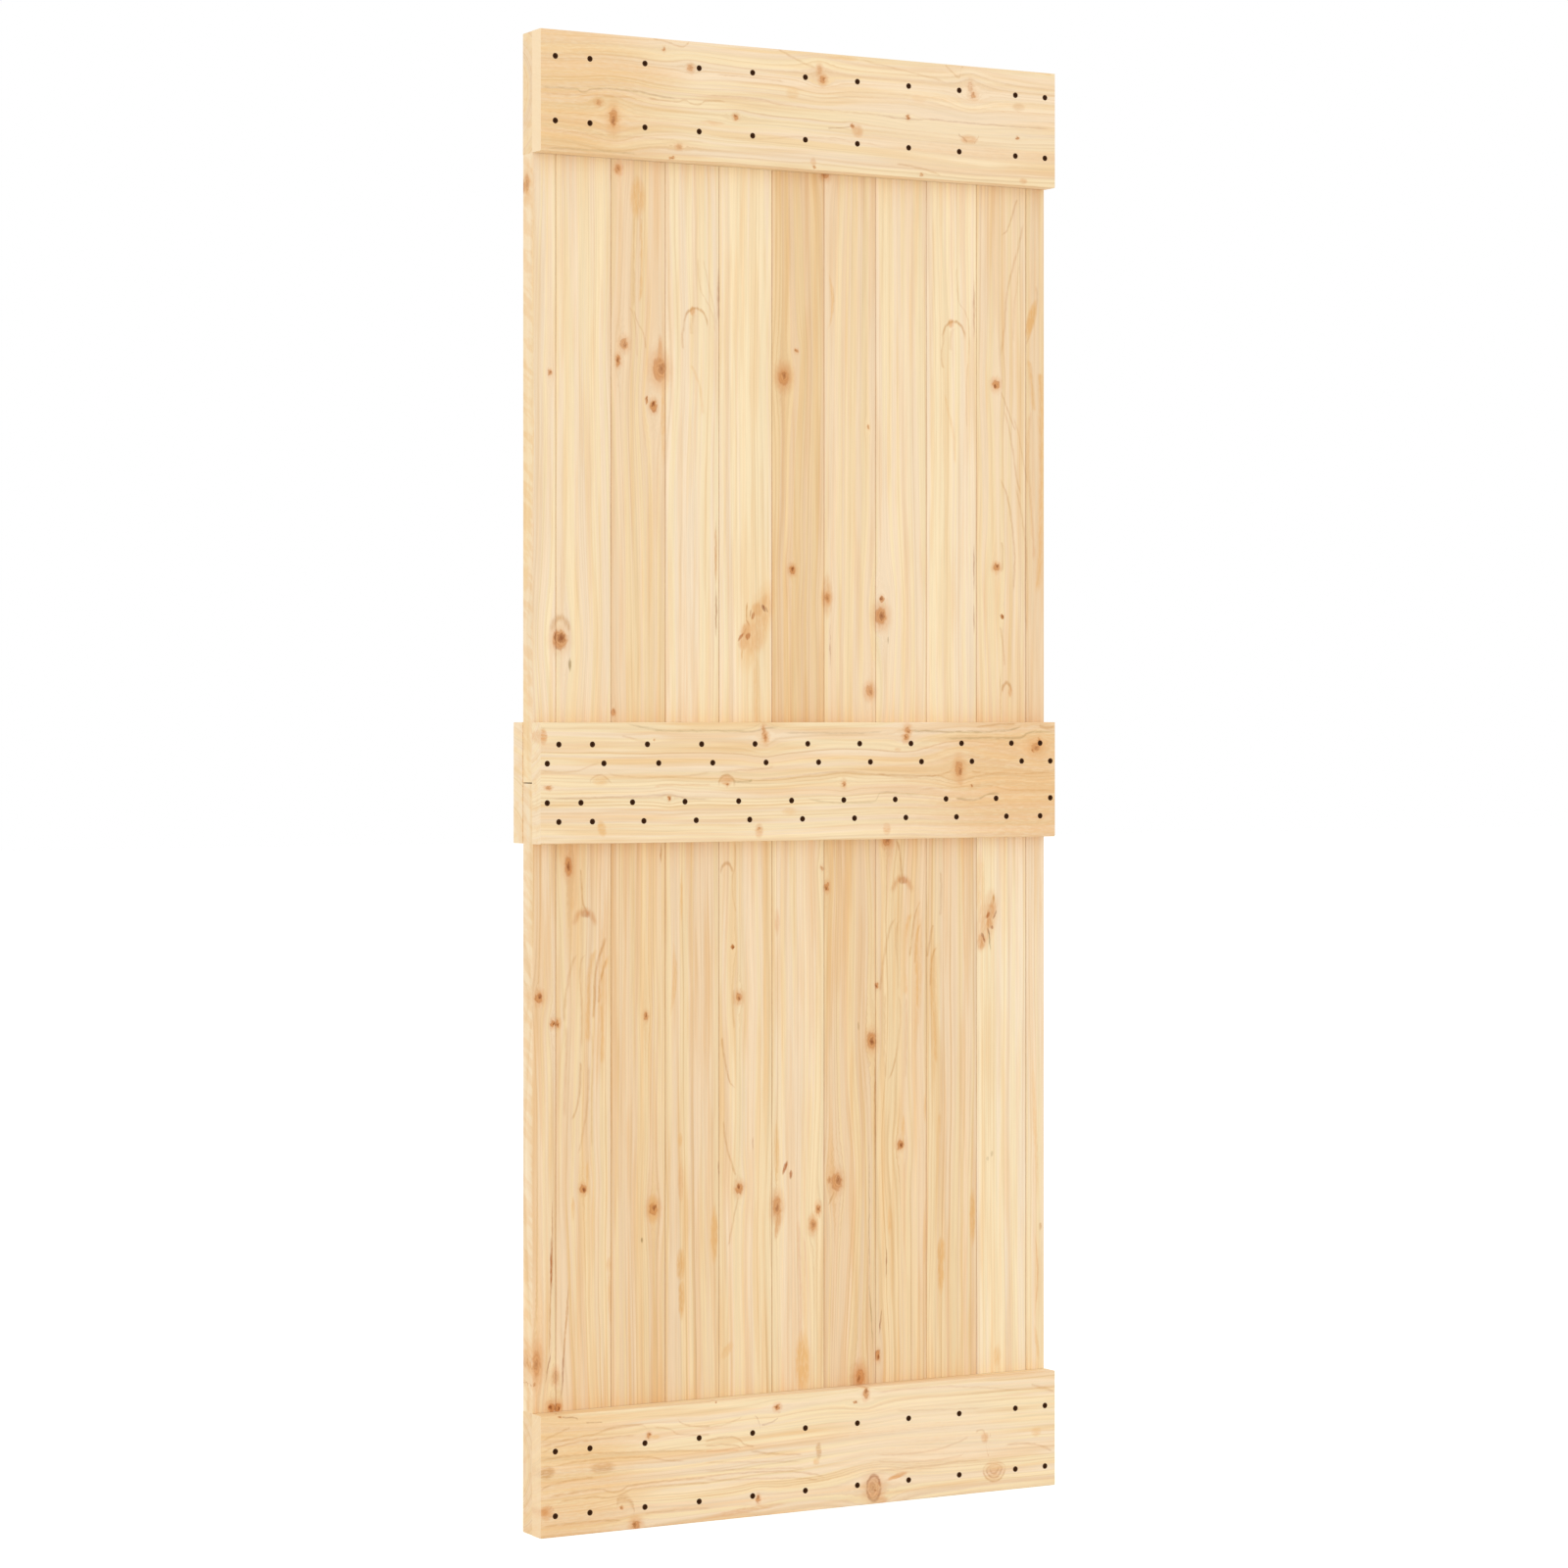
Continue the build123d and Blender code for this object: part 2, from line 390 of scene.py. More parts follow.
UPPER_MARKS = [
    Streak(-425, -480, 6, 1100, "honey", 0.35),
    # Narrow first board, and the ringed knot across its joint
    Knot(-397, -391, 6.5, 9.5, 0.77, 0.3),
    Knot(-382, -764, 24, 27, 0.9, 0.3),
    Arc(-381, -752, 26, 18, 6, "tan", 0.5),
    Streak(-366, -800, 4.5, 20, "moss", 0.7),
    # Third board
    Knot(-290, -99, 9, 11, 0.52, 0.5),
    Streak(-259, -138, 26, 60, "honey", 0.7),
    Knot(-280, -346, 12, 16, 0.6, 0.4),
    Knot(-290, -369, 7.5, 16, 0.9, 0.4),
    Knot(-224, -379, 20, 32, 0.64, 0.5),
    Streak(-223, -350, 8, 40, "rose", 0.6),
    Line([(-265, -163), (-265, -223), (-265, -292)], "tan", 0.28, 3),
    Line([(-256, -162), (-253, -222), (-256, -285)], "honey", 0.6, 4),
    Line([(-265, -297), (-259, -315), (-250, -329), (-246, -351)], "tan", 0.28),
    Line([(-272, -292), (-262, -324), (-260, -363)], "tan", 0.19),
    Knot(-245, -424, 4.5, 11.5, 0.87, 0.2),
    Knot(-234, -431, 10, 16, 1, 0.4),
    Streak(-218, -455, 9, 130, "honey", 0.55),
    Knot(-297, -866, 6, 8, 0.62, 0.3),
    # Fourth board
    Streak(-171, -294, 10, 14, "rose", 0.7),
    Arc(-166, -314, 38, 24, 3, "tan", 0.58),
    Line([(-167, -299), (-173, -313), (-173, -327)], "tan", 0.22, 5),
    Line([(-186, -306), (-185, -316), (-188, -330), (-186, -349)], "tan", 0.34, 3),
    Line([(-162, -219), (-159, -259), (-150, -277), (-140, -295), (-134, -323)], "tan", 0.22),
    Line([(-154, -219), (-144, -261), (-137, -286), (-134, -314)], "tan", 0.19),
    Line([(-174, -371), (-165, -387), (-158, -408), (-154, -441)], "honey", 0.38, 4),
    Streak(-129, -274, 4, 84, "russet", 0.35),
    Streak(-133, -722, 4, 70, "russet", 0.5),
    Streak(-133.5, -640, 4, 90, "knot", 0.55),
    # Fifth board, with its cluster
    Streak(-66, -742, 46, 130, "honey", 0.6, 40),
    Streak(-58, -728, 30, 70, "rose", 0.35, 20),
    Streak(-74, -757, 44, 50, "rose", 0.4),
    Streak(-66, -718, 17, 20, "knot", 0.7),
    Streak(-55, -706, 9, 26, "knot", 0.45, 4),
    Streak(-89, -767, 17, 20, "knot", 0.5),
    Streak(-84, -750, 15, 26, "knot", 0.7, 4),
    Streak(-55, -716, 5, 12, "heart", 0.75, -4),
    Streak(-50, -718, 3, 9, "heart", 0.5, -3),
    Streak(-73, -727, 5, 12, "rim", 0.7, 3),
    Streak(-77, -724, 2.5, 13, "russet", 0.7, 2),
    Streak(-83, -722, 2.2, 28, "tan", 0.9),
    Streak(-81, -738, 3, 12, "russet", 0.8, -6),
    Streak(-86, -750, 3, 11, "russet", 0.8, 4),
    Streak(-81, -757, 8, 11, "rim", 0.75, 3),
    Streak(-93, -758, 5, 14, "rim", 0.75, 9),
    Streak(-91, -782, 2, 16, "tan", 0.9),
    Streak(-67, -830, 13, 130, "honey", 0.5),
    # Sixth board, the dark one
    Knot(-1, -344, 6, 7, 0.72, 0.3),
    Knot(-22, -382, 16, 21.5, 0.67, 0.6),
    Knot(-8, -660, 9, 11.5, 1, 0.5),
    # Seventh board
    Knot(47, -85, 12, 12, 0.62, 0.5),
    Streak(56, -269, 6, 80, "honey", 0.6, 0, -7),
    Knot(50, -700, 9, 12, 0.62, 0.6),
    Streak(50, -696, 18, 64, "rose", 0.5),
    Streak(55, -770, 2, 66, "russet", 0.4),
    Knot(122, -835, 12, 16, 0.5, 0.5),
    # Eighth board
    Knot(141, -725, 17.5, 25, 0.82, 0.5),
    Knot(142, -700, 8, 9, 0.82, 0.3),
    Streak(153, -760, 2.5, 12, "moss", 0.5),
    Knot(119, -450, 5, 6, 0.52, 0.3),
    # Ninth board
    Streak(261, -292, 10, 14, "rose", 0.7),
    Arc(266, -312, 38, 23, 3, "tan", 0.58),
    Line([(266, -299), (260, -317), (261, -332)], "tan", 0.22, 5),
    Line([(246, -306), (247, -318), (245, -335), (250, -359)], "tan", 0.34, 3),
    Line([(271, -208), (274, -257), (285, -273), (292, -299), (292, -338)], "tan", 0.22),
    Line([(251, -397), (256, -421), (265, -457), (268, -498)], "honey", 0.38, 4),
    Line([(291, -348), (288, -384), (288, -444)], "tan", 0.22),
    Streak(301, -272, 4, 90, "russet", 0.35),
    Streak(301, -652, 3, 70, "russet", 0.45),
    Streak(301, -727, 3, 44, "russet", 0.4),
    # Tenth and eleventh boards
    Knot(339, -379, 11, 13, 0.9, 0.5),
    Knot(340, -650, 10, 10, 0.84, 0.5),
    Knot(350, -723, 6, 7.5, 1, 0.1),
    Streak(350, -723, 5, 6, "moss", 0.9),
    Arc(358, -836, 16, 14, 3, "tan", 0.6),
    Streak(364, -836, 7, 16, "rose", 0.6),
    Streak(347, -843, 2.5, 80, "tan", 0.4),
    Streak(401, -280, 16, 58, "honey", 1.0, 14),
    Line([(376, -101), (367, -128), (361, -145), (349, -157)], "tan", 0.37, 3),
    Line([(387, -139), (378, -174), (366, -213), (358, -248), (354, -291), (348, -335)],
         "tan", 0.31, 3.5),
    Line([(379, -198), (376, -232), (371, -266), (370, -315)], "tan", 0.19),
    Line([(410, -229), (411, -250), (404, -279), (393, -318)], "tan", 0.31, 3),
    Line([(397, -341), (402, -375), (406, -416)], "honey", 0.6, 6),
    Line([(417, -359), (419, -411), (421, -445)], "honey", 0.68, 8),
    Line([(348, -389), (358, -413), (373, -446)]),
    Line([(354, -418), (363, -447), (369, -478), (375, -514), (383, -541)], "tan", 0.31, 3),
    Line([(370, -427), (379, -453), (387, -490), (395, -526)], "tan", 0.22),
    Line([(346, -519), (354, -532), (361, -554), (366, -578), (370, -607), (372, -636), (370, -685)],
         "tan", 0.37, 3),
    Line([(373, -529), (380, -553), (387, -587), (392, -636), (390, -684), (393, -745)], "tan", 0.25, 3),
    Line([(399, -416), (397, -453), (396, -489), (399, -538), (403, -587), (407, -640)],
         "rose", 0.34, 5),
    Line([(416, -416), (419, -489), (418, -562), (417, -623), (410, -686)], "honey", 0.68, 8),
    Line([(347, -612), (351, -631), (349, -657)], "tan", 0.31, 3),
    Line([(346, -738), (351, -763), (354, -797)], "tan", 0.31, 3),
    # Down the leaf's left edge
    Knot(-424, -129, 6, 20, 0.82, 0.3, 56, 6),
    Knot(-424, -125, 8, 24, 0.5, 0.7, 46, 14),
    Streak(-424, -480, 6, 90, "honey", 0.4),
]

LOWER_MARKS = [
    # First board and its joint
    Knot(-414, -1265, 11, 13.5, 0.92, 0.5),
    Knot(-392, -1302, 7, 9.5, 1, 0.5),
    Knot(-385.5, -1302, 7, 9.5, 1, 0.5),
    Streak(-394, -1610, 3, 130, "rim", 0.4, 2),
    Streak(-395, -1641, 4.5, 80, "rim", 0.8),
    Streak(-397, -1706, 2.5, 130, "tan", 0.6, 2),
    Streak(-400, -1782, 2.5, 40, "russet", 0.5, 8),
    Knot(-418, -1776, 12, 34, 0.47, 0.6),
    Knot(-421, -1805, 4.5, 5, 0.62, 0.3),
    Knot(-389, -1796, 10, 18, 0.15, 0.4),
    Knot(-395, -1839, 9.5, 13, 0.95, 0.6),
    Knot(-385, -1840, 8, 12.5, 0.99, 0.6),
    # Second board
    Knot(-368, -1082, 11.5, 25.5, 0.92, 0.4),
    Streak(-375, -1050, 22, 60, "honey", 0.4),
    Streak(-318, -1270, 14, 240, "honey", 0.45, 6, -5),
    Streak(-350, -1330, 16, 330, "cream", 0.5, 8),
    Streak(-342, -1150, 15, 11, "rim", 0.5),
    Streak(-362, -1135, 7, 22, "honey", 0.4),
    Arc(-343, -1165, 31, 19, 7, "knot", 0.45),
    Line([(-349, -1085), (-347, -1122), (-341, -1146)], "tan", 0.45, 2.8),
    Line([(-356, -1206), (-362, -1217), (-368, -1239), (-373, -1268), (-375, -1300)], "tan", 0.31, 4),
    Line([(-335, -1206), (-348, -1216), (-350, -1230), (-349, -1255), (-347, -1283), (-348, -1338)],
         "tan", 0.31, 3),
    Line([(-311, -1182), (-316, -1201), (-323, -1219), (-326, -1238), (-327, -1263), (-329, -1297)],
         "tan", 0.55, 4),
    Line([(-306, -1209), (-312, -1225), (-317, -1243), (-318, -1263), (-316, -1293), (-315, -1332),
          (-316, -1362)],
         "honey", 0.75, 6),
    Line([(-310, -1215), (-314, -1231), (-319, -1247), (-321, -1275)], "tan", 0.45, 3),
    Line([(-325, -1200), (-334, -1228), (-337, -1262), (-338, -1330)], "honey", 0.7, 7),
    Line([(-349, -1356), (-350, -1384), (-353, -1411), (-363, -1438)], "tan", 0.43, 3),
    Line([(-336, -1361), (-337, -1396), (-339, -1421), (-345, -1453), (-352, -1485)], "tan", 0.28, 3),
    Line([(-372, -1305), (-371, -1337), (-374, -1383), (-375, -1433)], "tan", 0.25, 4),
    Line([(-331, -1316), (-330, -1362), (-332, -1417), (-331, -1477)], "tan", 0.22, 3),
    Knot(-345, -1536, 10.5, 12, 1, 0.35),
    Streak(-339, -1515, 5, 40, "honey", 0.6),
    Streak(-361, -1562, 7, 34, "honey", 0.5),
    Streak(-372, -1722, 3.5, 110, "tan", 0.6, 8),
    Streak(-377, -1790, 3.5, 74, "russet", 0.5, 4),
    Streak(-305, -1646, 8, 24, "honey", 0.5),
    Streak(-304, -1692, 6, 80, "honey", 0.5, -3),
    # Third board
    Knot(-246, -1296, 6.5, 11.5, 0.81, 0.4),
    Streak(-222, -1066, 3, 26, "tan", 0.6),
    Knot(-234, -1570, 12, 17.5, 0.91, 0.6),
    Streak(-235, -1570, 17, 42, "honey", 0.9),
    Streak(-252, -1613, 3, 8, "moss", 0.7),
    # Fourth board
    Streak(-189, -1132, 5, 74, "honey", 0.6),
    Streak(-202, -1246, 8, 100, "honey", 0.6, 5, -4),
    Streak(-191, -1474, 8, 22, "honey", 0.6),
    Streak(-190, -1534, 9, 60, "rose", 0.4),
    Streak(-129, -1519, 2.5, 26, "russet", 0.4),
    Streak(-190, -1652, 15, 48, "honey", 0.9),
    Streak(-189, -1700, 11, 60, "honey", 0.9),
    Streak(-136, -1612, 12, 84, "honey", 1.0),
    # Fifth board
    Arc(-116, -1096, 18, 14, 3, "tan", 0.5),
    Line([(-102, -1052), (-102, -1084), (-107, -1106), (-105, -1130), (-101, -1152)], "tan", 0.25),
    Knot(-106, -1202, 4.6, 7, 1, 0.2),
    Streak(-106, -1202, 5, 7, "heart", 0.9),
    Knot(-96, -1275, 10, 13, 0.81, 0.5),
    Line([(-104, -1262), (-105, -1290), (-103, -1318)], "tan", 0.25, 3),
    Line([(-124, -1330), (-121, -1352), (-116, -1376), (-111, -1394), (-103, -1404)], "tan", 0.43, 3),
    Line([(-121, -1450), (-117, -1480), (-110, -1505), (-101, -1530)], "tan", 0.37, 3),
    Line([(-96, -1560), (-103, -1585), (-113, -1630)], "tan", 0.31, 3),
    Knot(-95, -1548, 11, 14.5, 0.89, 0.5),
    Streak(-73, -1485, 1.5, 22, "russet", 0.4),
    Streak(-115, -1779, 16, 24, "honey", 0.5, 12),
    # Sixth board
    Streak(-33, -1168, 9, 40, "rose", 0.4),
    Streak(-20, -1522, 6, 19, "rim", 0.85, 6),
    Streak(-10, -1533, 5, 13, "rim", 0.7),
    Streak(-34, -1500, 9, 90, "honey", 0.6),
    Knot(-33, -1578, 13, 28, 0.66, 0.5),
    Streak(-32, -1604, 10, 40, "knot", 0.5, 5),
    Knot(35, -1585, 7, 13, 0.8, 0.5),
    Knot(26, -1608, 9, 16, 0.56, 0.6),
    Line([(2, -1600), (4, -1660), (6, -1720), (4, -1800)], "rose", 0.37, 5),
    Line([(9, -1625), (13, -1650), (12, -1710), (14, -1780)], "rose", 0.31, 3),
    Streak(9, -1806, 26, 90, "honey", 1.0),
    # Seventh board
    Knot(50, -1119, 6.5, 11.5, 0.86, 0.5),
    Knot(42, -1091, 6, 7, 0.42, 0.3),
    Streak(103, -1322, 3, 14, "moss", 0.5),
    Knot(125, -1345, 14.5, 24, 0.91, 0.4),
    Streak(131, -1440, 3, 190, "tan", 0.6),
    Knot(67, -1547, 18, 25, 0.7, 0.35),
    Knot(54, -1544, 6, 9, 0.47, 0.3),
    Streak(57, -1571, 4, 20, "tan", 0.4, 10),
    Streak(121, -1600, 2, 220, "moss", 0.4),
    Streak(124, -1745, 2.5, 110, "moss", 0.4, -8),
    Knot(105, -1834, 13, 21, 0.72, 0.7),
    # Eighth board
    Knot(151, -1053, 13, 13, 0.62, 0.5),
    Streak(203, -1240, 14, 240, "honey", 0.45, 5, -4),
    Streak(174, -1290, 16, 300, "cream", 0.5, 6),
    Streak(178, -1112, 15, 11, "rim", 0.5),
    Line([(168, -1053), (173, -1071), (175, -1090), (177, -1108)], "tan", 0.46, 3),
    Arc(177, -1128, 30, 19, 7, "knot", 0.45),
    Line([(164, -1167), (155, -1185), (148, -1214), (143, -1244), (139, -1273)], "tan", 0.31, 4),
    Line([(177, -1170), (167, -1183), (167, -1209), (170, -1240), (170, -1272)], "tan", 0.28, 3),
    Line([(207, -1144), (198, -1167), (194, -1191), (190, -1224)], "tan", 0.4, 3),
    Line([(210, -1171), (203, -1196), (201, -1225), (203, -1258), (202, -1301)], "honey", 0.75, 6),
    Line([(208, -1177), (201, -1201), (199, -1234)], "tan", 0.45, 3),
    Line([(192, -1160), (183, -1190), (180, -1222), (182, -1280)], "honey", 0.7, 7),
    Line([(170, -1279), (174, -1305), (171, -1341), (165, -1374), (154, -1403)], "tan", 0.43, 3),
    Line([(183, -1282), (184, -1329), (182, -1401)], "tan", 0.22, 3),
    Line([(148, -1276), (147, -1328), (149, -1400)], "tan", 0.25, 4),
    Knot(134, -1265, 6, 9, 0.9, 0.3),
    Knot(174, -1499, 12, 13, 1, 0.35),
    Streak(179, -1476, 6, 44, "honey", 0.6),
    Streak(156, -1608, 8, 46, "honey", 0.6),
    Streak(150, -1671, 2.5, 44, "russet", 0.6, 2),
    Streak(140, -1756, 2.5, 36, "russet", 0.6, 4),
    Knot(136, -1805, 8, 16, 1, 0.35),
    # Ninth board
    Streak(231, -1300, 12, 260, "honey", 0.45, 0, -4),
    Line([(243, -1100), (244, -1134), (241, -1165)], "tan", 0.28, 3),
    Line([(230, -1178), (224, -1203), (220, -1225)], "tan", 0.37, 3),
    Line([(237, -1207), (230, -1223), (227, -1249), (229, -1290), (233, -1338), (234, -1384)],
         "honey", 0.75, 6),
    Line([(235, -1211), (228, -1230), (225, -1268)]),
    Streak(216, -1447, 6, 44, "honey", 0.5),
    Streak(241, -1472, 6, 36, "honey", 0.5),
    Streak(216, -1640, 7, 90, "honey", 0.4),
    Streak(244, -1660, 15, 44, "honey", 0.9),
    Streak(243, -1690, 12, 64, "honey", 0.9),
    Streak(298, -1612, 11, 84, "honey", 1.0),
    # Tenth and eleventh boards
    Streak(312, -1120, 16, 110, "honey", 0.5),
    Streak(324, -1172, 34, 88, "rose", 0.6, 16),
    Streak(313, -1204, 16, 34, "rose", 0.6),
    Streak(331, -1161, 17, 30, "knot", 0.6, 6),
    Streak(328, -1177, 12, 18, "knot", 0.65),
    Streak(314, -1205, 14, 24, "knot", 0.6),
    Streak(335, -1142, 3, 16, "tan", 0.8),
    Streak(325, -1166, 6, 10, "rim", 0.8, 5),
    Streak(337, -1166, 4, 13, "heart", 0.5, 6),
    Streak(332, -1184, 5, 6, "russet", 0.6),
    Streak(326, -1190, 3.5, 12, "russet", 0.6, -4),
    Streak(328, -1203, 2.5, 32, "moss", 0.7, -3),
    Streak(316, -1196, 4.5, 10, "heart", 0.55, -3),
    Streak(318, -1203, 4, 8, "russet", 0.7, -2),
    Streak(418, -1147, 5, 90, "honey", 0.3),
    Streak(324, -1527, 5, 8, "moss", 0.3),
    Streak(332, -1520, 5, 8, "moss", 0.3),
    Streak(341, -1820, 13, 34, "honey", 0.6),
    Streak(408, -1484, 8, 220, "honey", 0.5, -10),
    Streak(417, -1633, 6, 12, "tan", 0.5),
    Streak(410, -1703, 4, 120, "rose", 0.5, 0, -5),
    Streak(411, -1806, 7, 56, "honey", 0.5, -8),
]

TOP_MARKS = [
    Streak(-430, 0, 300, 420, "honey", 0.5),
    Streak(260, 10, 180, 420, "blush", 0.5),
    Knot(-232, 70, 6, 5, 0.62, 0.3),
    Streak(-337, 82, 7, 71, "honey", 0.45),
    Line([(-250, 84), (-225, 81), (-205, 76), (-197, 79), (-190, 85)]),
    Knot(-189, 47, 9, 9, 0.4, 0.45),
    Streak(-321, 29, 47, 262, "honey", 0.5),
    Line([(-424, 3), (-383, 4), (-369, 4), (-361, 1), (-350, 5), (-338, 7), (-290, 8), (-252, 5),
          (-212, 1)],
         "moss", 0.28),
    Line([(-424, -6), (-366, -4), (-321, -2), (-275, -2)], "tan", 0.25),
    Line([(-259, -1), (-212, -2), (-198, 1), (-190, -3), (-179, -4), (-165, 2), (-133, 4)]),
    Knot(-335, -12, 7, 9, 0.42, 0.6),
    Knot(-312, -33, 25, 12, 0.72, 0.6),
    Streak(-303, -48, 14, 22, "honey", 0.39),
    Line([(-424, -29), (-352, -31), (-275, -28), (-165, -32)], "tan", 0.19),
    Line([(-424, -56), (-352, -57), (-275, -57), (-165, -57)], "tan", 0.19),
    Line([(-413, -81), (-337, -80), (-275, -81)], "moss", 0.25),
    Knot(-208, -66, 7, 8, 0.2, 0.4),
    Knot(-220, -82, 4, 8, 0.72, 0.3),
    Line([(-146, 41), (-102, 41), (-37, 39)], "tan", 0.31, 2),
    Streak(-23, 23, 17, 23, "honey", 0.39),
    Line([(-47, 85), (-18, 73), (-2, 67), (14, 63)], "tan", 0.31, 3),
    Knot(21, 60, 14, 8, 0.1, 0.4),
    Knot(27, 47, 10, 8, 0.62, 0.6),
    Streak(60, 80, 6, 56, "honey", 0.45),
    Knot(-116, -17, 8, 8, 0.82, 0.4),
    Streak(-154, -28, 6, 41, "rose", 0.39),
    Knot(76, -17, 6, 6, 0.8, 0.3),
    Streak(85, -23, 20, 21, "rose", 0.59),
    Line([(36, -23), (54, -21), (73, -18)], "russet", 0.31, 2),
    Line([(37, -37), (57, -37), (73, -41)], "tan", 0.25, 2),
    Streak(11, -73, 14, 10, "rose", 0.45),
    Knot(13, -80, 5, 5, 0.72, 0.2),
    Line([(-165, 9), (-102, 12), (-37, 5), (44, 3), (126, 3)], "tan", 0.22),
    Line([(-165, -46), (-102, -47), (11, -38), (126, -43)], "tan", 0.19),
    Line([(233, 84), (246, 74), (258, 68), (265, 76), (263, 83)], "tan", 0.31, 3),
    Knot(277, 54, 17, 8, 0.15, 0.4),
    Knot(282, 43, 9, 8, 0.52, 0.7),
    Streak(189, 30, 14, 27, "honey", 0.5),
    Knot(170, 2, 7, 6, 0.85, 0.4),
    Line([(118, 4), (169, 0), (193, 1), (209, 2), (260, 1), (338, 1), (418, 2)], "russet", 0.28, 2.2),
    Streak(361, 31, 13, 24, "tan", 0.3),
    Streak(275, -23, 14, 31, "rose", 0.59),
    Line([(257, -17), (265, -22), (272, -27)], "russet", 0.31),
    Line([(284, -28), (290, -20), (292, -16)]),
    Knot(359, -15, 4, 5, 0.82, 0.3),
    Knot(193, -80, 4, 5, 0.42, 0.3),
    Streak(369, -79, 10, 15, "rose", 0.52),
    Line([(151, -67), (179, -69), (226, -79)]),
    Line([(93, 80), (126, 75), (176, 68), (233, 59)], "tan", 0.25),
    Line([(338, 87), (379, 86), (421, 82)], "honey", 0.45, 3),
]
MIDDLE_MARKS = [
    Streak(430, -960, 300, 420, "honey", 0.5),
    Streak(360, -990, 240, 560, "rose", 0.22),
    Streak(-421, -900, 23, 12, "rose", 0.9),
    Knot(-247, -904, 4, 4, 0.42, 0.2),
    Streak(-332, -963, 12, 26, "honey", 0.5),
    Line([(-349, -966), (-344, -958), (-334, -954), (-324, -958), (-315, -966)], "tan", 0.34, 3),
    Knot(-414, -971, 4, 8, 0.52, 0.5),
    Knot(-224, -988, 8, 5, 1, 0.3),
    Line([(-407, -987), (-352, -986), (-275, -984), (-230, -983), (-197, -988), (-157, -990)],
         "russet", 0.19),
    Line([(-247, -972), (-228, -969), (-157, -969)], "rose", 0.37),
    Streak(-330, -1029, 22, 15, "honey", 0.85, -6),
    Line([(-290, -882), (-259, -888), (-225, -892), (-157, -892), (-89, -893), (-70, -889), (-44, -887)],
         "moss", 0.28),
    Line([(-298, -899), (-278, -904), (-259, -908)], "tan", 0.25),
    Line([(-425, -948), (-375, -949), (-352, -942), (-334, -937)], "tan", 0.22),
    Line([(-321, -948), (-283, -957), (-228, -957), (-157, -951)], "tan", 0.22),
    Knot(-71, -892, 13, 5, 0.42, 0.5),
    Knot(-68, -902, 11, 6, 0.62, 0.6),
    Line([(-37, -895), (-5, -895), (80, -896), (126, -892)], "moss", 0.22),
    Streak(-131, -963, 17, 22, "rose", 0.75),
    Arc(-131, -970, 26, 15, 3, "tan", 0.5),
    Knot(-130, -969, 4, 5, 0.82, 0.3),
    Line([(-121, -962), (-108, -965), (-89, -963)], "moss", 0.37, 3),
    Line([(-141, -951), (-118, -949), (-89, -948), (-54, -944)], "tan", 0.25),
    Knot(62, -969, 9, 7, 0.62, 0.4),
    Line([(1, -985), (49, -996), (108, -996), (121, -985), (131, -982), (159, -985), (194, -986)],
         "moss", 0.22),
    Streak(-78, -1035, 22, 14, "rose", 0.59),
    Knot(-78, -1032, 4, 5, 0.42, 0.2),
    Streak(-28, -1008, 11, 26, "honey", 0.39),
    Line([(-86, -964), (-60, -961), (-5, -957), (55, -952), (126, -956), (226, -959)], "russet", 0.15),
    Knot(169, -892, 10, 8, 0.62, 0.6),
    Knot(166, -902, 9, 7, 0.72, 0.6),
    Line([(173, -892), (260, -894), (328, -893), (355, -890), (366, -881)], "moss", 0.37, 3),
    Line([(289, -887), (319, -884), (355, -882)], "tan", 0.37, 3),
    Line([(235, -904), (311, -903), (359, -903), (378, -896), (400, -894), (421, -897)],
         "moss", 0.34, 3),
    Line([(397, -885), (411, -888), (423, -888)], "tan", 0.37, 4),
    Knot(392, -917, 12, 16, 0.57, 0.8),
    Knot(397, -910, 15, 5, 0.72, 0.3),
    Knot(386, -922, 5, 5, 0.82, 0.2),
    Streak(153, -920, 6, 13, "rose", 0.45),
    Knot(258, -949, 22, 12, 0.67, 0.6),
    Streak(260, -967, 17, 12, "rose", 0.52),
    Knot(279, -973, 4, 4, 0.72, 0.4),
    Line([(118, -955), (176, -960), (218, -958), (240, -953), (246, -946)]),
    Line([(277, -950), (311, -955), (354, -956), (421, -955)]),
    Line([(252, -992), (277, -994), (294, -992), (309, -986), (328, -985)], "moss", 0.37, 3),
    Line([(193, -977), (243, -976), (294, -973), (362, -981), (421, -980)], "tan", 0.22),
    Streak(134, -1035, 20, 15, "rose", 0.59),
    Streak(400, -1021, 9, 35, "rose", 0.39),
]
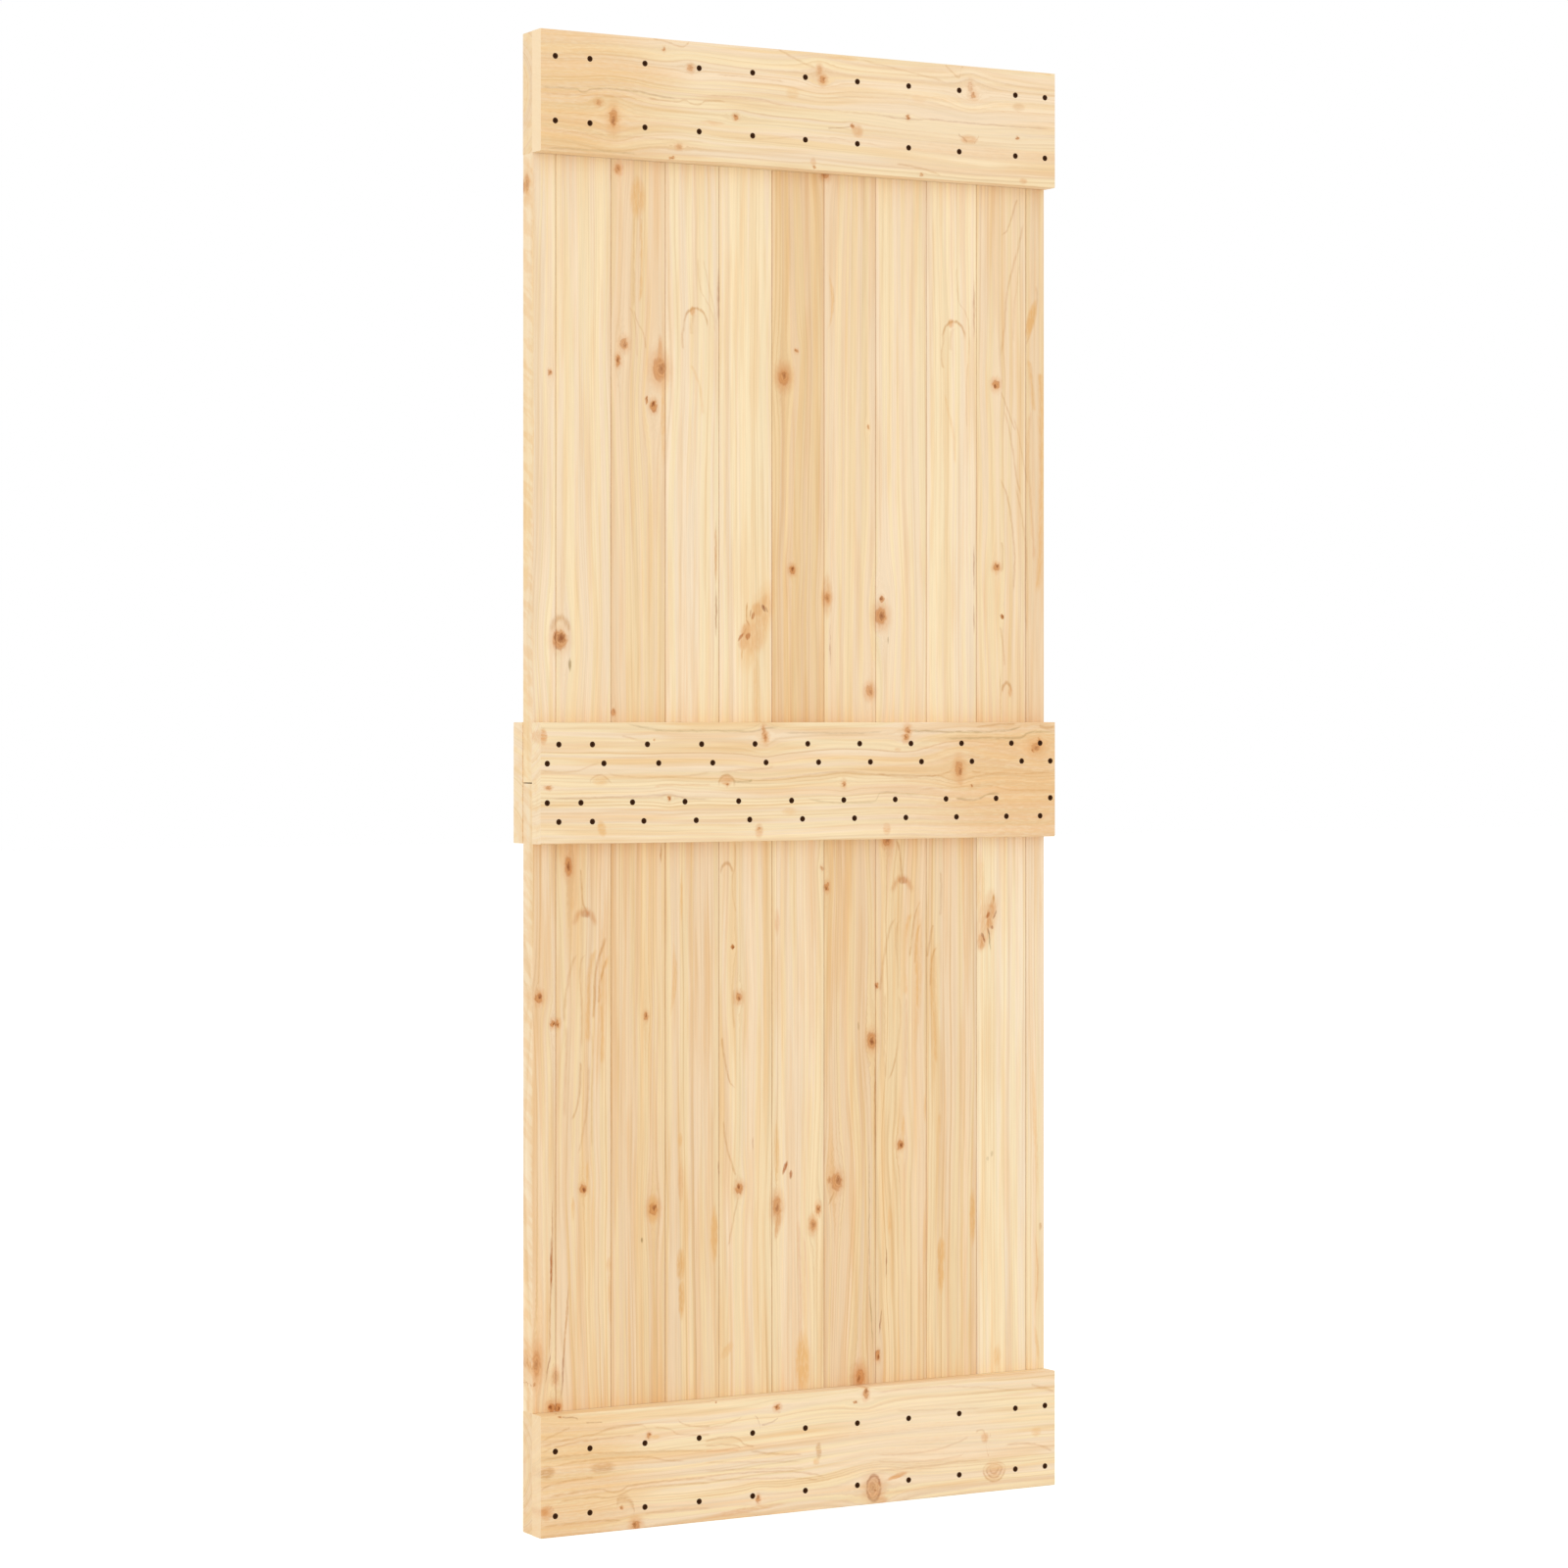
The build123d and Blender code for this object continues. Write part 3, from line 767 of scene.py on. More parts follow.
BOTTOM_MARKS = [
    Streak(190, -1925, 130, 330, "blush", 0.6),
    Streak(-430, -1950, 300, 340, "honey", 0.5),
    Knot(-396, -1848, 4, 5, 0.82, 0.3),
    Line([(-392, -1848), (-383, -1850), (-376, -1850), (-367, -1854)], "russet", 0.5, 2.2),
    Line([(-355, -1859), (-330, -1861)], "russet", 0.31, 2),
    Line([(-424, -1880), (-404, -1872), (-379, -1864)], "tan", 0.28),
    Line([(-424, -1888), (-390, -1881), (-352, -1878), (-290, -1868), (-270, -1869), (-258, -1880)],
         "tan", 0.34, 3),
    Line([(-424, -1896), (-383, -1887), (-343, -1884), (-275, -1883)]),
    Line([(-424, -1907), (-372, -1903), (-290, -1906), (-157, -1915)]),
    Line([(-402, -1916), (-344, -1912), (-262, -1915), (-225, -1923), (-197, -1926)]),
    Line([(-424, -1947), (-390, -1939), (-343, -1937)], "tan", 0.34),
    Line([(-414, -1958), (-383, -1956), (-335, -1954), (-309, -1960), (-287, -1953), (-228, -1952),
          (-157, -1953)],
         "tan", 0.34),
    Line([(-399, -1969), (-350, -1964), (-314, -1967), (-279, -1958), (-212, -1958), (-157, -1961)]),
    Line([(-421, -1999), (-343, -1998), (-300, -2004)], "tan", 0.34),
    Line([(-418, -2007), (-367, -2009)], "honey", 0.52, 4),
    Streak(-416, -1924, 20, 26, "tan", 0.55),
    Streak(-416, -1979, 23, 24, "rose", 0.75),
    Streak(-420, -1979, 12, 14, "knot", 0.5),
    Line([(-424, -1977), (-413, -1973)], "russet", 0.37),
    Line([(-421, -1982), (-408, -1972)], "russet", 0.31),
    Line([(-418, -1984), (-405, -1975)], "russet", 0.25),
    Streak(-328, -1924, 17, 42, "tan", 0.45),
    Knot(-256, -1885, 8, 6, 0.72, 0.4),
    Streak(-247, -1888, 7, 19, "honey", 0.59),
    Line([(-307, -1980), (-304, -1972), (-293, -1971), (-284, -1977), (-278, -1994)], "tan", 0.42, 9),
    Knot(-299, -1983, 5, 5, 0.62, 0.4),
    Knot(-277, -2009, 12, 12, 0.72, 0.6),
    Line([(-262, -1995), (-228, -1994), (-157, -1997)], "tan", 0.25),
    Line([(-209, -1866), (-200, -1874), (-184, -1878), (-157, -1880)]),
    Line([(-247, -1874), (-222, -1879), (-209, -1887), (-197, -1889), (-157, -1892)], "tan", 0.28),
    Knot(-148, -1847, 3, 3, 0.72, 0.2),
    Knot(-48, -1862, 8, 8, 0.82, 0.5),
    Line([(-85, -1871), (-79, -1879), (-76, -1891)], "russet", 0.31),
    Line([(-74, -1885), (-60, -1883), (-47, -1877)], "russet", 0.28, 2),
    Line([(-165, -1883), (-126, -1878), (-106, -1870)], "tan", 0.19),
    Line([(-165, -1901), (-127, -1898), (-114, -1901), (-100, -1912), (-86, -1915)], "tan", 0.37, 3),
    Line([(-165, -1908), (-127, -1909), (-108, -1917)]),
    Line([(-92, -1921), (-54, -1928), (-8, -1933)], "tan", 0.37, 3),
    Line([(-165, -1915), (-111, -1918)], "rose", 0.43, 3),
    Line([(-165, -1951), (-102, -1951), (-33, -1955), (3, -1961), (29, -1969)], "tan", 0.34),
    Line([(-165, -1943), (-86, -1947), (-5, -1953)], "tan", 0.25),
    Line([(-165, -1956), (-62, -1963), (-18, -1966), (21, -1973)], "tan", 0.28),
    Line([(-165, -1931), (-86, -1937), (-8, -1943)], "tan", 0.22),
    Streak(20, -1930, 24, 10, "tan", 0.55),
    Streak(16, -1945, 11, 11, "honey", 0.59),
    Knot(-80, -1990, 10, 6, 0.72, 0.4),
    Knot(112, -1993, 34, 23, 0.3, 0.4),
    Knot(115, -1995, 5, 5, 0.72, 0.1),
    Arc(112, -1992, 22, 18, 3, "russet", 0.62),
    Arc(112, -1992, 22, -18, 3, "russet", 0.5),
    Knot(99, -1853, 16, 8, 0.72, 0.4),
    Knot(82, -1865, 4, 8, 0.82, 0.1),
    Streak(151, -1978, 8, 37, "rose", 0.9, 8),
    Streak(126, -2010, 11, 23, "rose", 0.59),
    Streak(-102, -2005, 8, 144, "rose", 0.5, 10),
    Line([(287, -1925), (301, -1926), (311, -1931), (313, -1943), (309, -1961)], "tan", 0.37, 3),
    Streak(302, -1935, 16, 14, "rose", 0.6),
    Streak(318, -1984, 32, 34, "rose", 0.5),
    Arc(318, -1981, 38, -19, 2.6, "tan", 0.5),
    Arc(318, -1981, 26, -14, 2.4, "russet", 0.42),
    Arc(318, -1981, 13, -8, 2.4, "russet", 0.42),
    Arc(318, -1981, 38, 9, 2.2, "tan", 0.25),
    Arc(318, -1981, 24, 6, 2, "tan", 0.25),
    Line([(340, -1949), (362, -1948), (385, -1951), (421, -1965)], "tan", 0.34, 3),
    Line([(118, -1944), (178, -1947), (209, -1946), (248, -1939), (274, -1931)], "tan", 0.25),
    Line([(118, -1953), (193, -1960), (226, -1960), (268, -1951)], "tan", 0.22),
    Line([(118, -1968), (184, -1968), (218, -1968), (260, -1966), (294, -1969)], "tan", 0.25),
    Streak(392, -1933, 15, 19, "honey", 0.5),
    Line([(383, -1863), (404, -1869), (423, -1875)], "tan", 0.31, 4),
    Line([(118, -1854), (193, -1852), (268, -1857), (362, -1871)], "tan", 0.19),
    Line([(151, -1883), (226, -1887), (294, -1891)], "tan", 0.19),
]


class Timber(NamedTuple):
    """One piece of wood: how deep its tone is, and where its log's pith lies.

    The pith is in millimetres from the middle of the piece's front, across and behind it. Ring is
    the growth of a year and sway how far the grain wanders to each side, also in millimetres.
    Figure is how strongly the rings show, and sawn how pale the ends are.
    """

    tone: float
    pith: tuple
    ring: float = 3.8
    sway: float = 3.0
    figure: float = 1.0
    sawn: float = 0.75


# Left to right: straight-grained boards have their pith far to one side
UPPER_TIMBER = [
    Timber(0.25, (-110, 40), figure=0.5),
    Timber(0.35, (120, 30), figure=0.5),
    Timber(0.75, (-110, 40), 3.4, figure=0.5),
    Timber(0.2, (-75, 35), 6.0, 7.0, 0.6),
    Timber(0.2, (-110, 30), 4.4, figure=0.55),
    Timber(1.1, (110, 40), 4.4, figure=0.7),
    Timber(0.6, (-100, 50), figure=0.5),
    Timber(0.35, (120, 30), figure=0.5),
    Timber(0.2, (-75, 35), 6.0, 7.0, 0.6),
    Timber(0.55, (-110, 40), 5.0, 5.0, 0.8),
    Timber(0.8, (-80, 60), 5.0, 5.0, 0.8),
]
LOWER_TIMBER = [
    Timber(0.7, (110, 40), 4.2),
    Timber(0.75, (-75, 35), 6.4, 8.0),
    Timber(0.9, (120, 30), 4.6),
    Timber(0.7, (-100, 40), 6.0, 5.0),
    Timber(0.5, (100, 40), 5.6, 5.0),
    Timber(0.45, (-120, 30), 5.2, figure=0.8),
    Timber(0.9, (-120, 30), 4.4),
    Timber(0.8, (75, 35), 6.4, 8.0),
    Timber(0.7, (-100, 40), 6.0, 6.0),
    Timber(0.05, (110, 30), 4.6, figure=0.7),
    Timber(0.35, (-80, 40), 5.0, 6.0, 0.7),
]

RAIL_TIMBER = Timber(0.85, (10, 60), sawn=0.2)
LEDGE_WOOD = {
    "top_ledge": (Timber(0.35, (-125, 60), 5.4, 8.0, sawn=0.8), TOP_MARKS),
    "middle_ledge_front": (Timber(0.35, (120, 50), 5.0, 8.0, sawn=0.35), MIDDLE_MARKS),
    "bottom_ledge": (Timber(0.2, (130, 60), 6.0, 9.0, sawn=0.5), BOTTOM_MARKS),
    "middle_ledge_back": (Timber(0.4, (-110, 60), 5.0, 8.0, sawn=0.35), []),
}


def box_mm(node):
    """A node's lowest and highest corners, in millimetres."""
    low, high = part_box(node)
    return low / MM, high / MM


# How many times its own size a mark and its stain may reach to each side
REACH = 2.5


def marks_on(node, marks, upright):
    """The marks that reach a piece."""
    low, high = box_mm(node)
    found = []
    for mark in marks:
        if isinstance(mark, Line):
            places = [x for x, _ in mark.places]
            near = low.x - mark.width < max(places) and min(places) < high.x + mark.width
        else:
            turned = not upright and not isinstance(mark, Arc)
            across, upward = (mark.length, mark.width) if turned else (mark.width, mark.length)
            near = low.x - REACH * across < mark.x < high.x + REACH * across
            near = near and low.z - REACH * upward < mark.z < high.z + REACH * upward
        if near:
            found.append(mark)
    return found


def bend_steps(tree, place, middle, scale, across, width):
    """Pushes the grain aside where a knot stands in its way."""
    near = tree.vector("MULTIPLY_ADD", place, scale, middle)
    near = tree.vector("MULTIPLY", near, (0.45, 0.0, 0.22))
    swell = tree.vector("DOT_PRODUCT", near, near, output="Value") + 1.0
    return {"Across": across - tree.split(near)[0] / swell * width}


def knot_steps(tree, place, middle, scale, aside, heart, halo, stain, body, ring, core):
    """Adds a knot's stain, body, bark and dark core to those of the knots before it.

    The core stands aside from the middle, and the bark is thickest on the side away from it.
    """
    # In this space the knot's edge is one long from its middle
    space = tree.vector("MULTIPLY_ADD", place, scale, middle)
    distance = tree.length(space)
    off_centre = tree.length(tree.vector("ADD", space, aside))
    here = distance.fade(1.15, 0.7)
    # Its own rings, far closer than the wood's
    ripple = ((off_centre * 18.0).math("SINE") + 1.0) * (heart * 0.08 + 0.12)
    # A band of bark at its edge, plain on one side and faint on the other
    side = tree.vector("DOT_PRODUCT", space, aside, output="Value").fade(-0.25, 0.3)
    bark = distance.fade(1.25, 1.0) * distance.fade(0.6, 0.95) * (side * 0.7 + 0.05) * heart * 0.8
    return {
        "Stain": stain.math("MAXIMUM", distance.fade(halo * 2.6 + 1.4, 0.6) * (halo * 1.3)),
        "Body": body.math("MAXIMUM", here * (heart * 0.75 + 0.02)),
        "Ring": ring.math("MAXIMUM", bark.math("MAXIMUM", here * ripple)),
        "Core": core.math("MAXIMUM", off_centre.fade(0.7, 0.1) * heart * (heart * 0.6 + 0.35)),
    }


def streak_steps(tree, across, along, middle, start, width, length, lean, bow, strength, mask):
    """Adds a lens-shaped streak to the mask of its tone."""
    run = (along - start) * (2.0 / length)
    side = across - middle - run * lean * 0.5 - (run * run - 0.5) * bow
    side = side * 2.0 / width
    reach = (side * side + run * run).fade(1.4, 0.1)
    return {"Mask": mask.math("MAXIMUM", reach * strength)}


def arc_steps(tree, x, z, middle, foot, width, rise, line, strength, mask):
    """Adds half a loop of grain to the mask of its tone."""
    sideways = (x - middle) * 2.0 / width
    upward = (z - foot) / rise
    distance = (sideways * sideways + upward * upward).math("SQRT")
    off_line = (distance - 1.0).math("ABSOLUTE") * width * 0.5
    here = off_line.fade(line, 0.0) * upward.fade(-0.2, 0.4)
    return {"Mask": mask.math("MAXIMUM", here * strength)}


def line_steps(tree, across, run, course, lowest, spread, width, strength, mask):
    """Adds a line of grain to the mask of its tone."""
    off_line = (across - lowest - course * spread).math("ABSOLUTE")
    within = run.fade(-0.02, 0.06) * run.fade(1.02, 0.94)
    return {"Mask": mask.math("MAXIMUM", off_line.fade(width, 0.0) * within * strength)}


def mark_groups():
    """The node group of each kind of mark, and of the grain's bend round a knot."""
    knot_inputs = "Heart Halo Stain Body Ring Core"
    streak_inputs = "Across Along Middle Start Width Length Lean Bow Strength Mask"
    arc_inputs = "X Z Middle Foot Width Rise Line Strength Mask"
    line_inputs = "Across Run Course Lowest Spread Width Strength Mask"
    return {
        "bend": Group("grain_bend", "Place Middle Scale", "Across Width", bend_steps),
        "knot": Group("knot", "Place Middle Scale Aside", knot_inputs, knot_steps),
        "streak": Group("streak", "", streak_inputs, streak_steps),
        "arc": Group("arc", "", arc_inputs, arc_steps),
        "line": Group("grain_line", "", line_inputs, line_steps),
    }


# How far marks and knots are pushed from side to side, in millimetres across, inward and along
RAGGED_REACH = (3.2, 3.2, 5.0)
TORN_REACH = (7.0, 7.0, 9.0)

# The grain of each kind of chance in the wood, in the same way
RAGGED = (6, 6, 14)
TORN = (4, 4, 7)
DRIFT = (240, 240, 700)
UNEVEN_YEARS = (20, 20, 20)
CAST = (9, 9, 900)
BLOOM = (12, 12, 400)
PATCH = (11, 16, 260)
STRAND = (1.7, 1.7, 150)
FIBRE = (1.1, 1.1, 34)
BROKEN = (2.2, 2.2, 11)
PLANED = (0.8, 0.8, 26)
SAW_BANDS = (40, 13)
SAW_SLANT = 0.5

# A face counts as an end or an edge where this much of its normal points that way
FACING = (0.6, 0.95)


class Pine:
    """The shading of one solid piece of pine, with its grain upright or level."""

    def __init__(self, node, groups, timber, marks, upright, seams=()):
        self.settings = bpy.context.scene.door_pine
        self.colours = {
            name: linear(getattr(self.settings, name))
            for name, kind in self.settings.bl_rna.properties.items()
            if kind.subtype == "COLOR_GAMMA"
        }
        self.material, self.tree = new_material(f"pine_{node}")
        self.groups = groups
        self.timber = timber
        self.upright = upright
        self.chance = random.Random(node)
        low, high = box_mm(node)
        middle = (low + high) / 2
        self.centre = middle.x if upright else middle.z
        self.front = low.y
        self.marks = marks_on(node, marks, upright)
        self.knots = [mark for mark in self.marks if isinstance(mark, Knot)]
        self.seams = [seam - self.centre for seam in seams if low.x - 1 < seam < high.x + 1]
        self.place()
        self.grow()
        self.paint()
        self.finish()

    def place(self):
        """The point's own place: across the face, into the wood and along the grain."""
        tree = self.tree
        texture = tree.node("ShaderNodeTexCoord").outputs
        x, y, z = tree.split(tree.scale(texture["Object"], 1 / MM))
        across, self.along = (x, z) if self.upright else (z, x)
        self.across = across - self.centre
        self.here = tree.combine(self.across, y - self.front, self.along)
        normal = tree.split(tree.vector("ABSOLUTE", texture["Normal"]))
        self.end = normal[2 if self.upright else 0].fade(*FACING)
        self.edge = normal[0].fade(*FACING)
        self.rough = self.shaken(RAGGED, RAGGED_REACH)
        self.rough_across, _, self.rough_along = tree.split(self.rough)
        self.torn = self.shaken(TORN, TORN_REACH)

    def scatter(self, grain, detail=2.0, output="Fac", vector=None):
        """Noise over the piece, where grain is its size in millimetres on each axis."""
        offset = [self.chance.uniform(-50, 50) for _ in range(3)]
        scale = [1 / size for size in grain]
        spread = self.tree.vector("MULTIPLY_ADD", vector or self.here, scale, offset)
        return self.tree.noise(spread, detail, output)

    def shaken(self, grain, reach, detail=2.0):
        """The point's place, pushed to either side by chance, where reach is from side to side."""
        push = self.scatter(grain, detail, "Color")
        back = [-part / 2 for part in reach]
        push = self.tree.vector("MULTIPLY_ADD", push, reach, back)
        return self.tree.vector("ADD", push, self.here)

    def turned(self, x, z):
        """A place on the face as its place across the piece and along the grain."""
        return (x - self.centre, z) if self.upright else (z - self.centre, x)

    def knot_place(self, knot):
        """What turns a place on the piece into one where the knot's edge is one long."""
        across, along = self.turned(knot.x, knot.z)
        scale = (2 / knot.width, 2 / knot.depth, 2 / knot.length)
        middle = (across, knot.y - self.front, along)
        middle = [-part * size for part, size in zip(middle, scale)]
        return {"Place": self.torn, "Middle": middle, "Scale": scale}

    def grow(self):
        """The growth rings, which bend round each knot."""
        tree = self.tree
        sway = self.timber.sway
        drift = self.shaken(DRIFT, (4 * sway, 4 * sway, 0), 1.0)
        across, inward, _ = tree.split(drift)
        across = across + self.scatter((16, 40, 40 + 400 / sway)) * (sway * 0.5)
        for knot in self.knots:
            values = {**self.knot_place(knot), "Across": across, "Width": knot.width}
            (across,) = self.groups["bend"].use(tree, values)
        pith_across, pith_inward = self.timber.pith
        radius = tree.length(tree.combine(across - pith_across, inward - pith_inward, 0.0))
        self.ringwise = tree.combine(radius, 0.0, self.along)
        uneven = self.scatter(UNEVEN_YEARS, vector=tree.combine(radius, 0.0, 0.0))
        rings = radius / self.timber.ring + uneven * 4.0
        phase = rings.math("FRACT")
        year = rings.math("FLOOR")
        luck = tree.add("ShaderNodeTexWhiteNoise", {"noise_dimensions": "1D"}, {"W": year})
        self.latewood = phase.fade(0.35, 0.9) * phase.fade(1.0, 0.92) * (luck * 0.8 + 0.2)

    def paint(self):
        """The colour of clear wood, then each kind of mark over it."""
        tree = self.tree
        colours = self.colours
        settings = self.settings
        figure = self.timber.figure
        cast = self.scatter(CAST, output="Color", vector=self.ringwise)
        cast, shade, weight = tree.split(cast)
        bloom = self.scatter(BLOOM, vector=self.ringwise)
        patch = self.scatter(PATCH)
        strand = self.scatter(STRAND, vector=self.ringwise)
        fibre = self.scatter(FIBRE)

        # Pale sapwood, then honey in broad bands of rings and in long patches
        colour = tree.mix(cast.fade(0.44, 0.56), colours["cream"], colours["blush"])
        bloom = bloom.fade(0.52, 0.62) * (figure * settings.bloom)
        colour = tree.mix(bloom, colour, colours["honey"])
        plain = settings.plain_patch
        patch = patch.fade(0.46, 0.68) * (figure * (settings.patch - plain) + plain)
        colour = tree.mix(patch, colour, colours["honey"])

        # The dark end of each year, then the marks
        line = self.latewood * (weight.fade(0.4, 0.6) * 0.5 + 0.17) * figure
        colour = tree.mix(line, colour, colours["latewood"])
        stain, body, ring, core = self.knot_masks()
        colour = tree.mix(stain, colour, colours["rose"])
        broken = self.scatter(BROKEN, 3.0).fade(0.32, 0.62) * 0.5 + 0.65
        for tone, mask in self.tone_masks().items():
            colour = tree.mix(mask * broken, colour, colours[tone])

        # Fine strands and fibres, and the piece's own depth of tone, which its edges hardly share
        colour = tree.scale(colour, shade * 0.2 + strand * 0.18 + fibre * 0.1 + 0.765)
        tone = self.timber.tone
        deep = [1 - tone + tone * part for part in colours["depth"][:3]]
        deep = tree.vector("MULTIPLY", colour, deep)
        colour = self.saw_marks(tree.mix(self.edge * 0.8, deep, colour)) if self.upright else deep

        # Knots, the shade in the joints and the sawn ends
        colour = tree.mix(body, colour, colours["knot"])
        colour = tree.mix(ring, colour, colours["rim"])
        colour = tree.mix(core, colour, colours["heart"])
        for seam in self.seams:
            near = (self.across - seam).math("ABSOLUTE")
            colour = tree.mix(near.fade(1.1, 0.3) * settings.seam, colour, colours["russet"])
        self.colour = tree.mix(self.end * self.timber.sawn, colour, colours["end_grain"])

    def saw_marks(self, colour):
        """Slanting bands, pale and honey by turns, that the saw leaves on an upright edge."""
        tree = self.tree
        _, inward, along = tree.split(self.rough)
        across_bands, along_bands = SAW_BANDS
        slanted = (along - inward * SAW_SLANT) / along_bands
        band = tree.noise(tree.combine(0.0, inward / across_bands, slanted), 2.0).fade(0.4, 0.6)
        band = tree.mix(band, self.colours["cream"], self.colours["honey"])
        return tree.mix(self.edge * self.settings.saw, colour, band)

    def knot_masks(self):
        """Where knots leave their stain, body, rings and dark core."""
        masks = {"Stain": 0.0, "Body": 0.0, "Ring": 0.0, "Core": 0.0}
        for knot in self.knots:
            aside = [self.chance.uniform(-0.3, 0.3), 0, self.chance.uniform(-0.3, 0.3)]
            values = {"Aside": aside, "Heart": knot.heart, "Halo": knot.halo}
            values = {**self.knot_place(knot), **values, **masks}
            masks = dict(zip(masks, self.groups["knot"].use(self.tree, values)))
        return masks.values()

    def tone_masks(self):
        """Where each tone lies, by the streaks, arcs and lines that carry it."""
        masks = {}
        for mark in self.marks:
            if isinstance(mark, Knot):
                continue
            kind = type(mark).__name__.lower()
            place = {"streak": self.streak, "arc": self.arc, "line": self.line}[kind](mark)
            values = {**place, "Strength": mark.strength, "Mask": masks.get(mark.tone, 0.0)}
            (masks[mark.tone],) = self.groups[kind].use(self.tree, values)
        return masks

    def streak(self, mark):
        across, along = self.turned(mark.x, mark.z)
        return {
            "Across": self.rough_across,
            "Along": self.rough_along,
            "Middle": across,
            "Start": along,
            "Width": mark.width,
            "Length": mark.length,
            "Lean": mark.lean,
            "Bow": mark.bow,
        }

    def arc(self, mark):
        faces = {"X": self.rough_across, "Z": self.rough_along}
        middle, foot = mark.x - self.centre, mark.z
        if not self.upright:
            faces = {"X": self.rough_along, "Z": self.rough_across}
            middle, foot = mark.x, mark.z - self.centre
        return {
            **faces,
            "Middle": middle,
            "Foot": foot,
            "Width": mark.width,
            "Rise": mark.rise,
            "Line": mark.line,
        }

    def line(self, mark):
        """A line's course across the grain is a curve of its run along it, both from 0 to 1."""
        tree = self.tree
        places = sorted(self.turned(*place)[::-1] for place in mark.places)
        start, end = places[0][0], places[-1][0]
        lowest = min(across for _, across in places)
        spread = max(across for _, across in places) - lowest or 1.0
        run = (self.rough_along - start) / (end - start)
        curve = tree.node("ShaderNodeFloatCurve", None, {"Value": run})
        points = curve.mapping.curves[0].points
        steps = [
            ((along - start) / (end - start), (across - lowest) / spread)
            for along, across in places
        ]
        points[0].location, points[1].location = steps[0], steps[-1]
        for step in steps[1:-1]:
            points.new(*step)
        curve.mapping.update()
        return {
            "Across": self.rough_across,
            "Run": run,
            "Course": curve.outputs[0],
            "Lowest": lowest,
            "Spread": spread,
            "Width": mark.width,
        }

    def finish(self):
        """Roughness, relief and the link to the shader."""
        tree = self.tree
        shader = tree.nodes["Principled BSDF"]
        planed = self.scatter(PLANED)
        height = self.latewood * 0.6 + planed * 0.4
        relief = {"Strength": 0.6, "Distance": self.settings.relief, "Height": height}
        tree.join(shader.inputs["Base Color"], self.colour)
        tree.join(shader.inputs["Roughness"], 0.68 - self.latewood * 0.12 + planed * 0.1)
        tree.join(shader.inputs["Normal"], tree.add("ShaderNodeBump", None, relief))
        shader.inputs["Specular IOR Level"].default_value = 0.25


def dress(name, groups, timber, marks, upright, seams=()):
    """Gives a piece of the frame its own pine."""
    material = Pine(name, groups, timber, marks, upright, seams).material
    piece = nodes[name]
    for slot in piece.material_slots:
        slot.material = material


# Operators


class DOOR_OT_boards(bpy.types.Operator):
    """Finish the upright boards of both courses"""

    bl_idname = "door.boards"
    bl_label = "Boards"

    def execute(self, context):
        groups = mark_groups()
        seams = [box_mm(name)[0].x for name in UPPER_BOARDS[1:]]
        for names, timbers, marks in (
            (UPPER_BOARDS, UPPER_TIMBER, UPPER_MARKS),
            (LOWER_BOARDS, LOWER_TIMBER, LOWER_MARKS),
        ):
            for name, timber in zip(names, timbers):
                dress(name, groups, timber, marks, upright=True, seams=seams)
        return {"FINISHED"}


class DOOR_OT_rails(bpy.types.Operator):
    """Finish the rails behind the outer ledges"""

    bl_idname = "door.rails"
    bl_label = "Rails"

    def execute(self, context):
        for name in RAILS:
            dress(name, {}, RAIL_TIMBER, [], upright=False)
        return {"FINISHED"}


class DOOR_OT_ledges(bpy.types.Operator):
    """Finish the level ledges, front and back"""

    bl_idname = "door.ledges"
    bl_label = "Ledges"

    def execute(self, context):
        groups = mark_groups()
        for name, (timber, marks) in LEDGE_WOOD.items():
            dress(name, groups, timber, marks, upright=False)
        return {"FINISHED"}


SEAT_DEPTH = 2.4 * MM
SEAT_TOLERANCE = 0.1 * MM
DRIVER_SEED = 7


def mesh_from(shape, name):
    """Turns a finished shape into a mesh."""
    mesh = bpy.data.meshes.new(name)
    shape.to_mesh(mesh)
    shape.free()
    return mesh


def screw_seats(ledge, settings):
    """The middle of each countersink's mouth, found from the foot of its cone."""
    low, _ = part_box(ledge)
    feet = []
    for vertex in nodes[ledge].data.vertices:
        if abs(vertex.co.y - low.y - SEAT_DEPTH) > SEAT_TOLERANCE:
            continue
        for foot in feet:
            if (foot[0] - vertex.co).length < settings.head_diameter:
                foot.append(vertex.co)
                break
        else:
            feet.append([vertex.co])
    seats = []
    for foot in feet:
        corners = {tuple(round(part, 6) for part in corner) for corner in foot}
        middle = sum((Vector(corner) for corner in corners), Vector()) / len(corners)
        seats.append(Vector((middle.x, low.y + settings.sunk, middle.z)))
    return seats


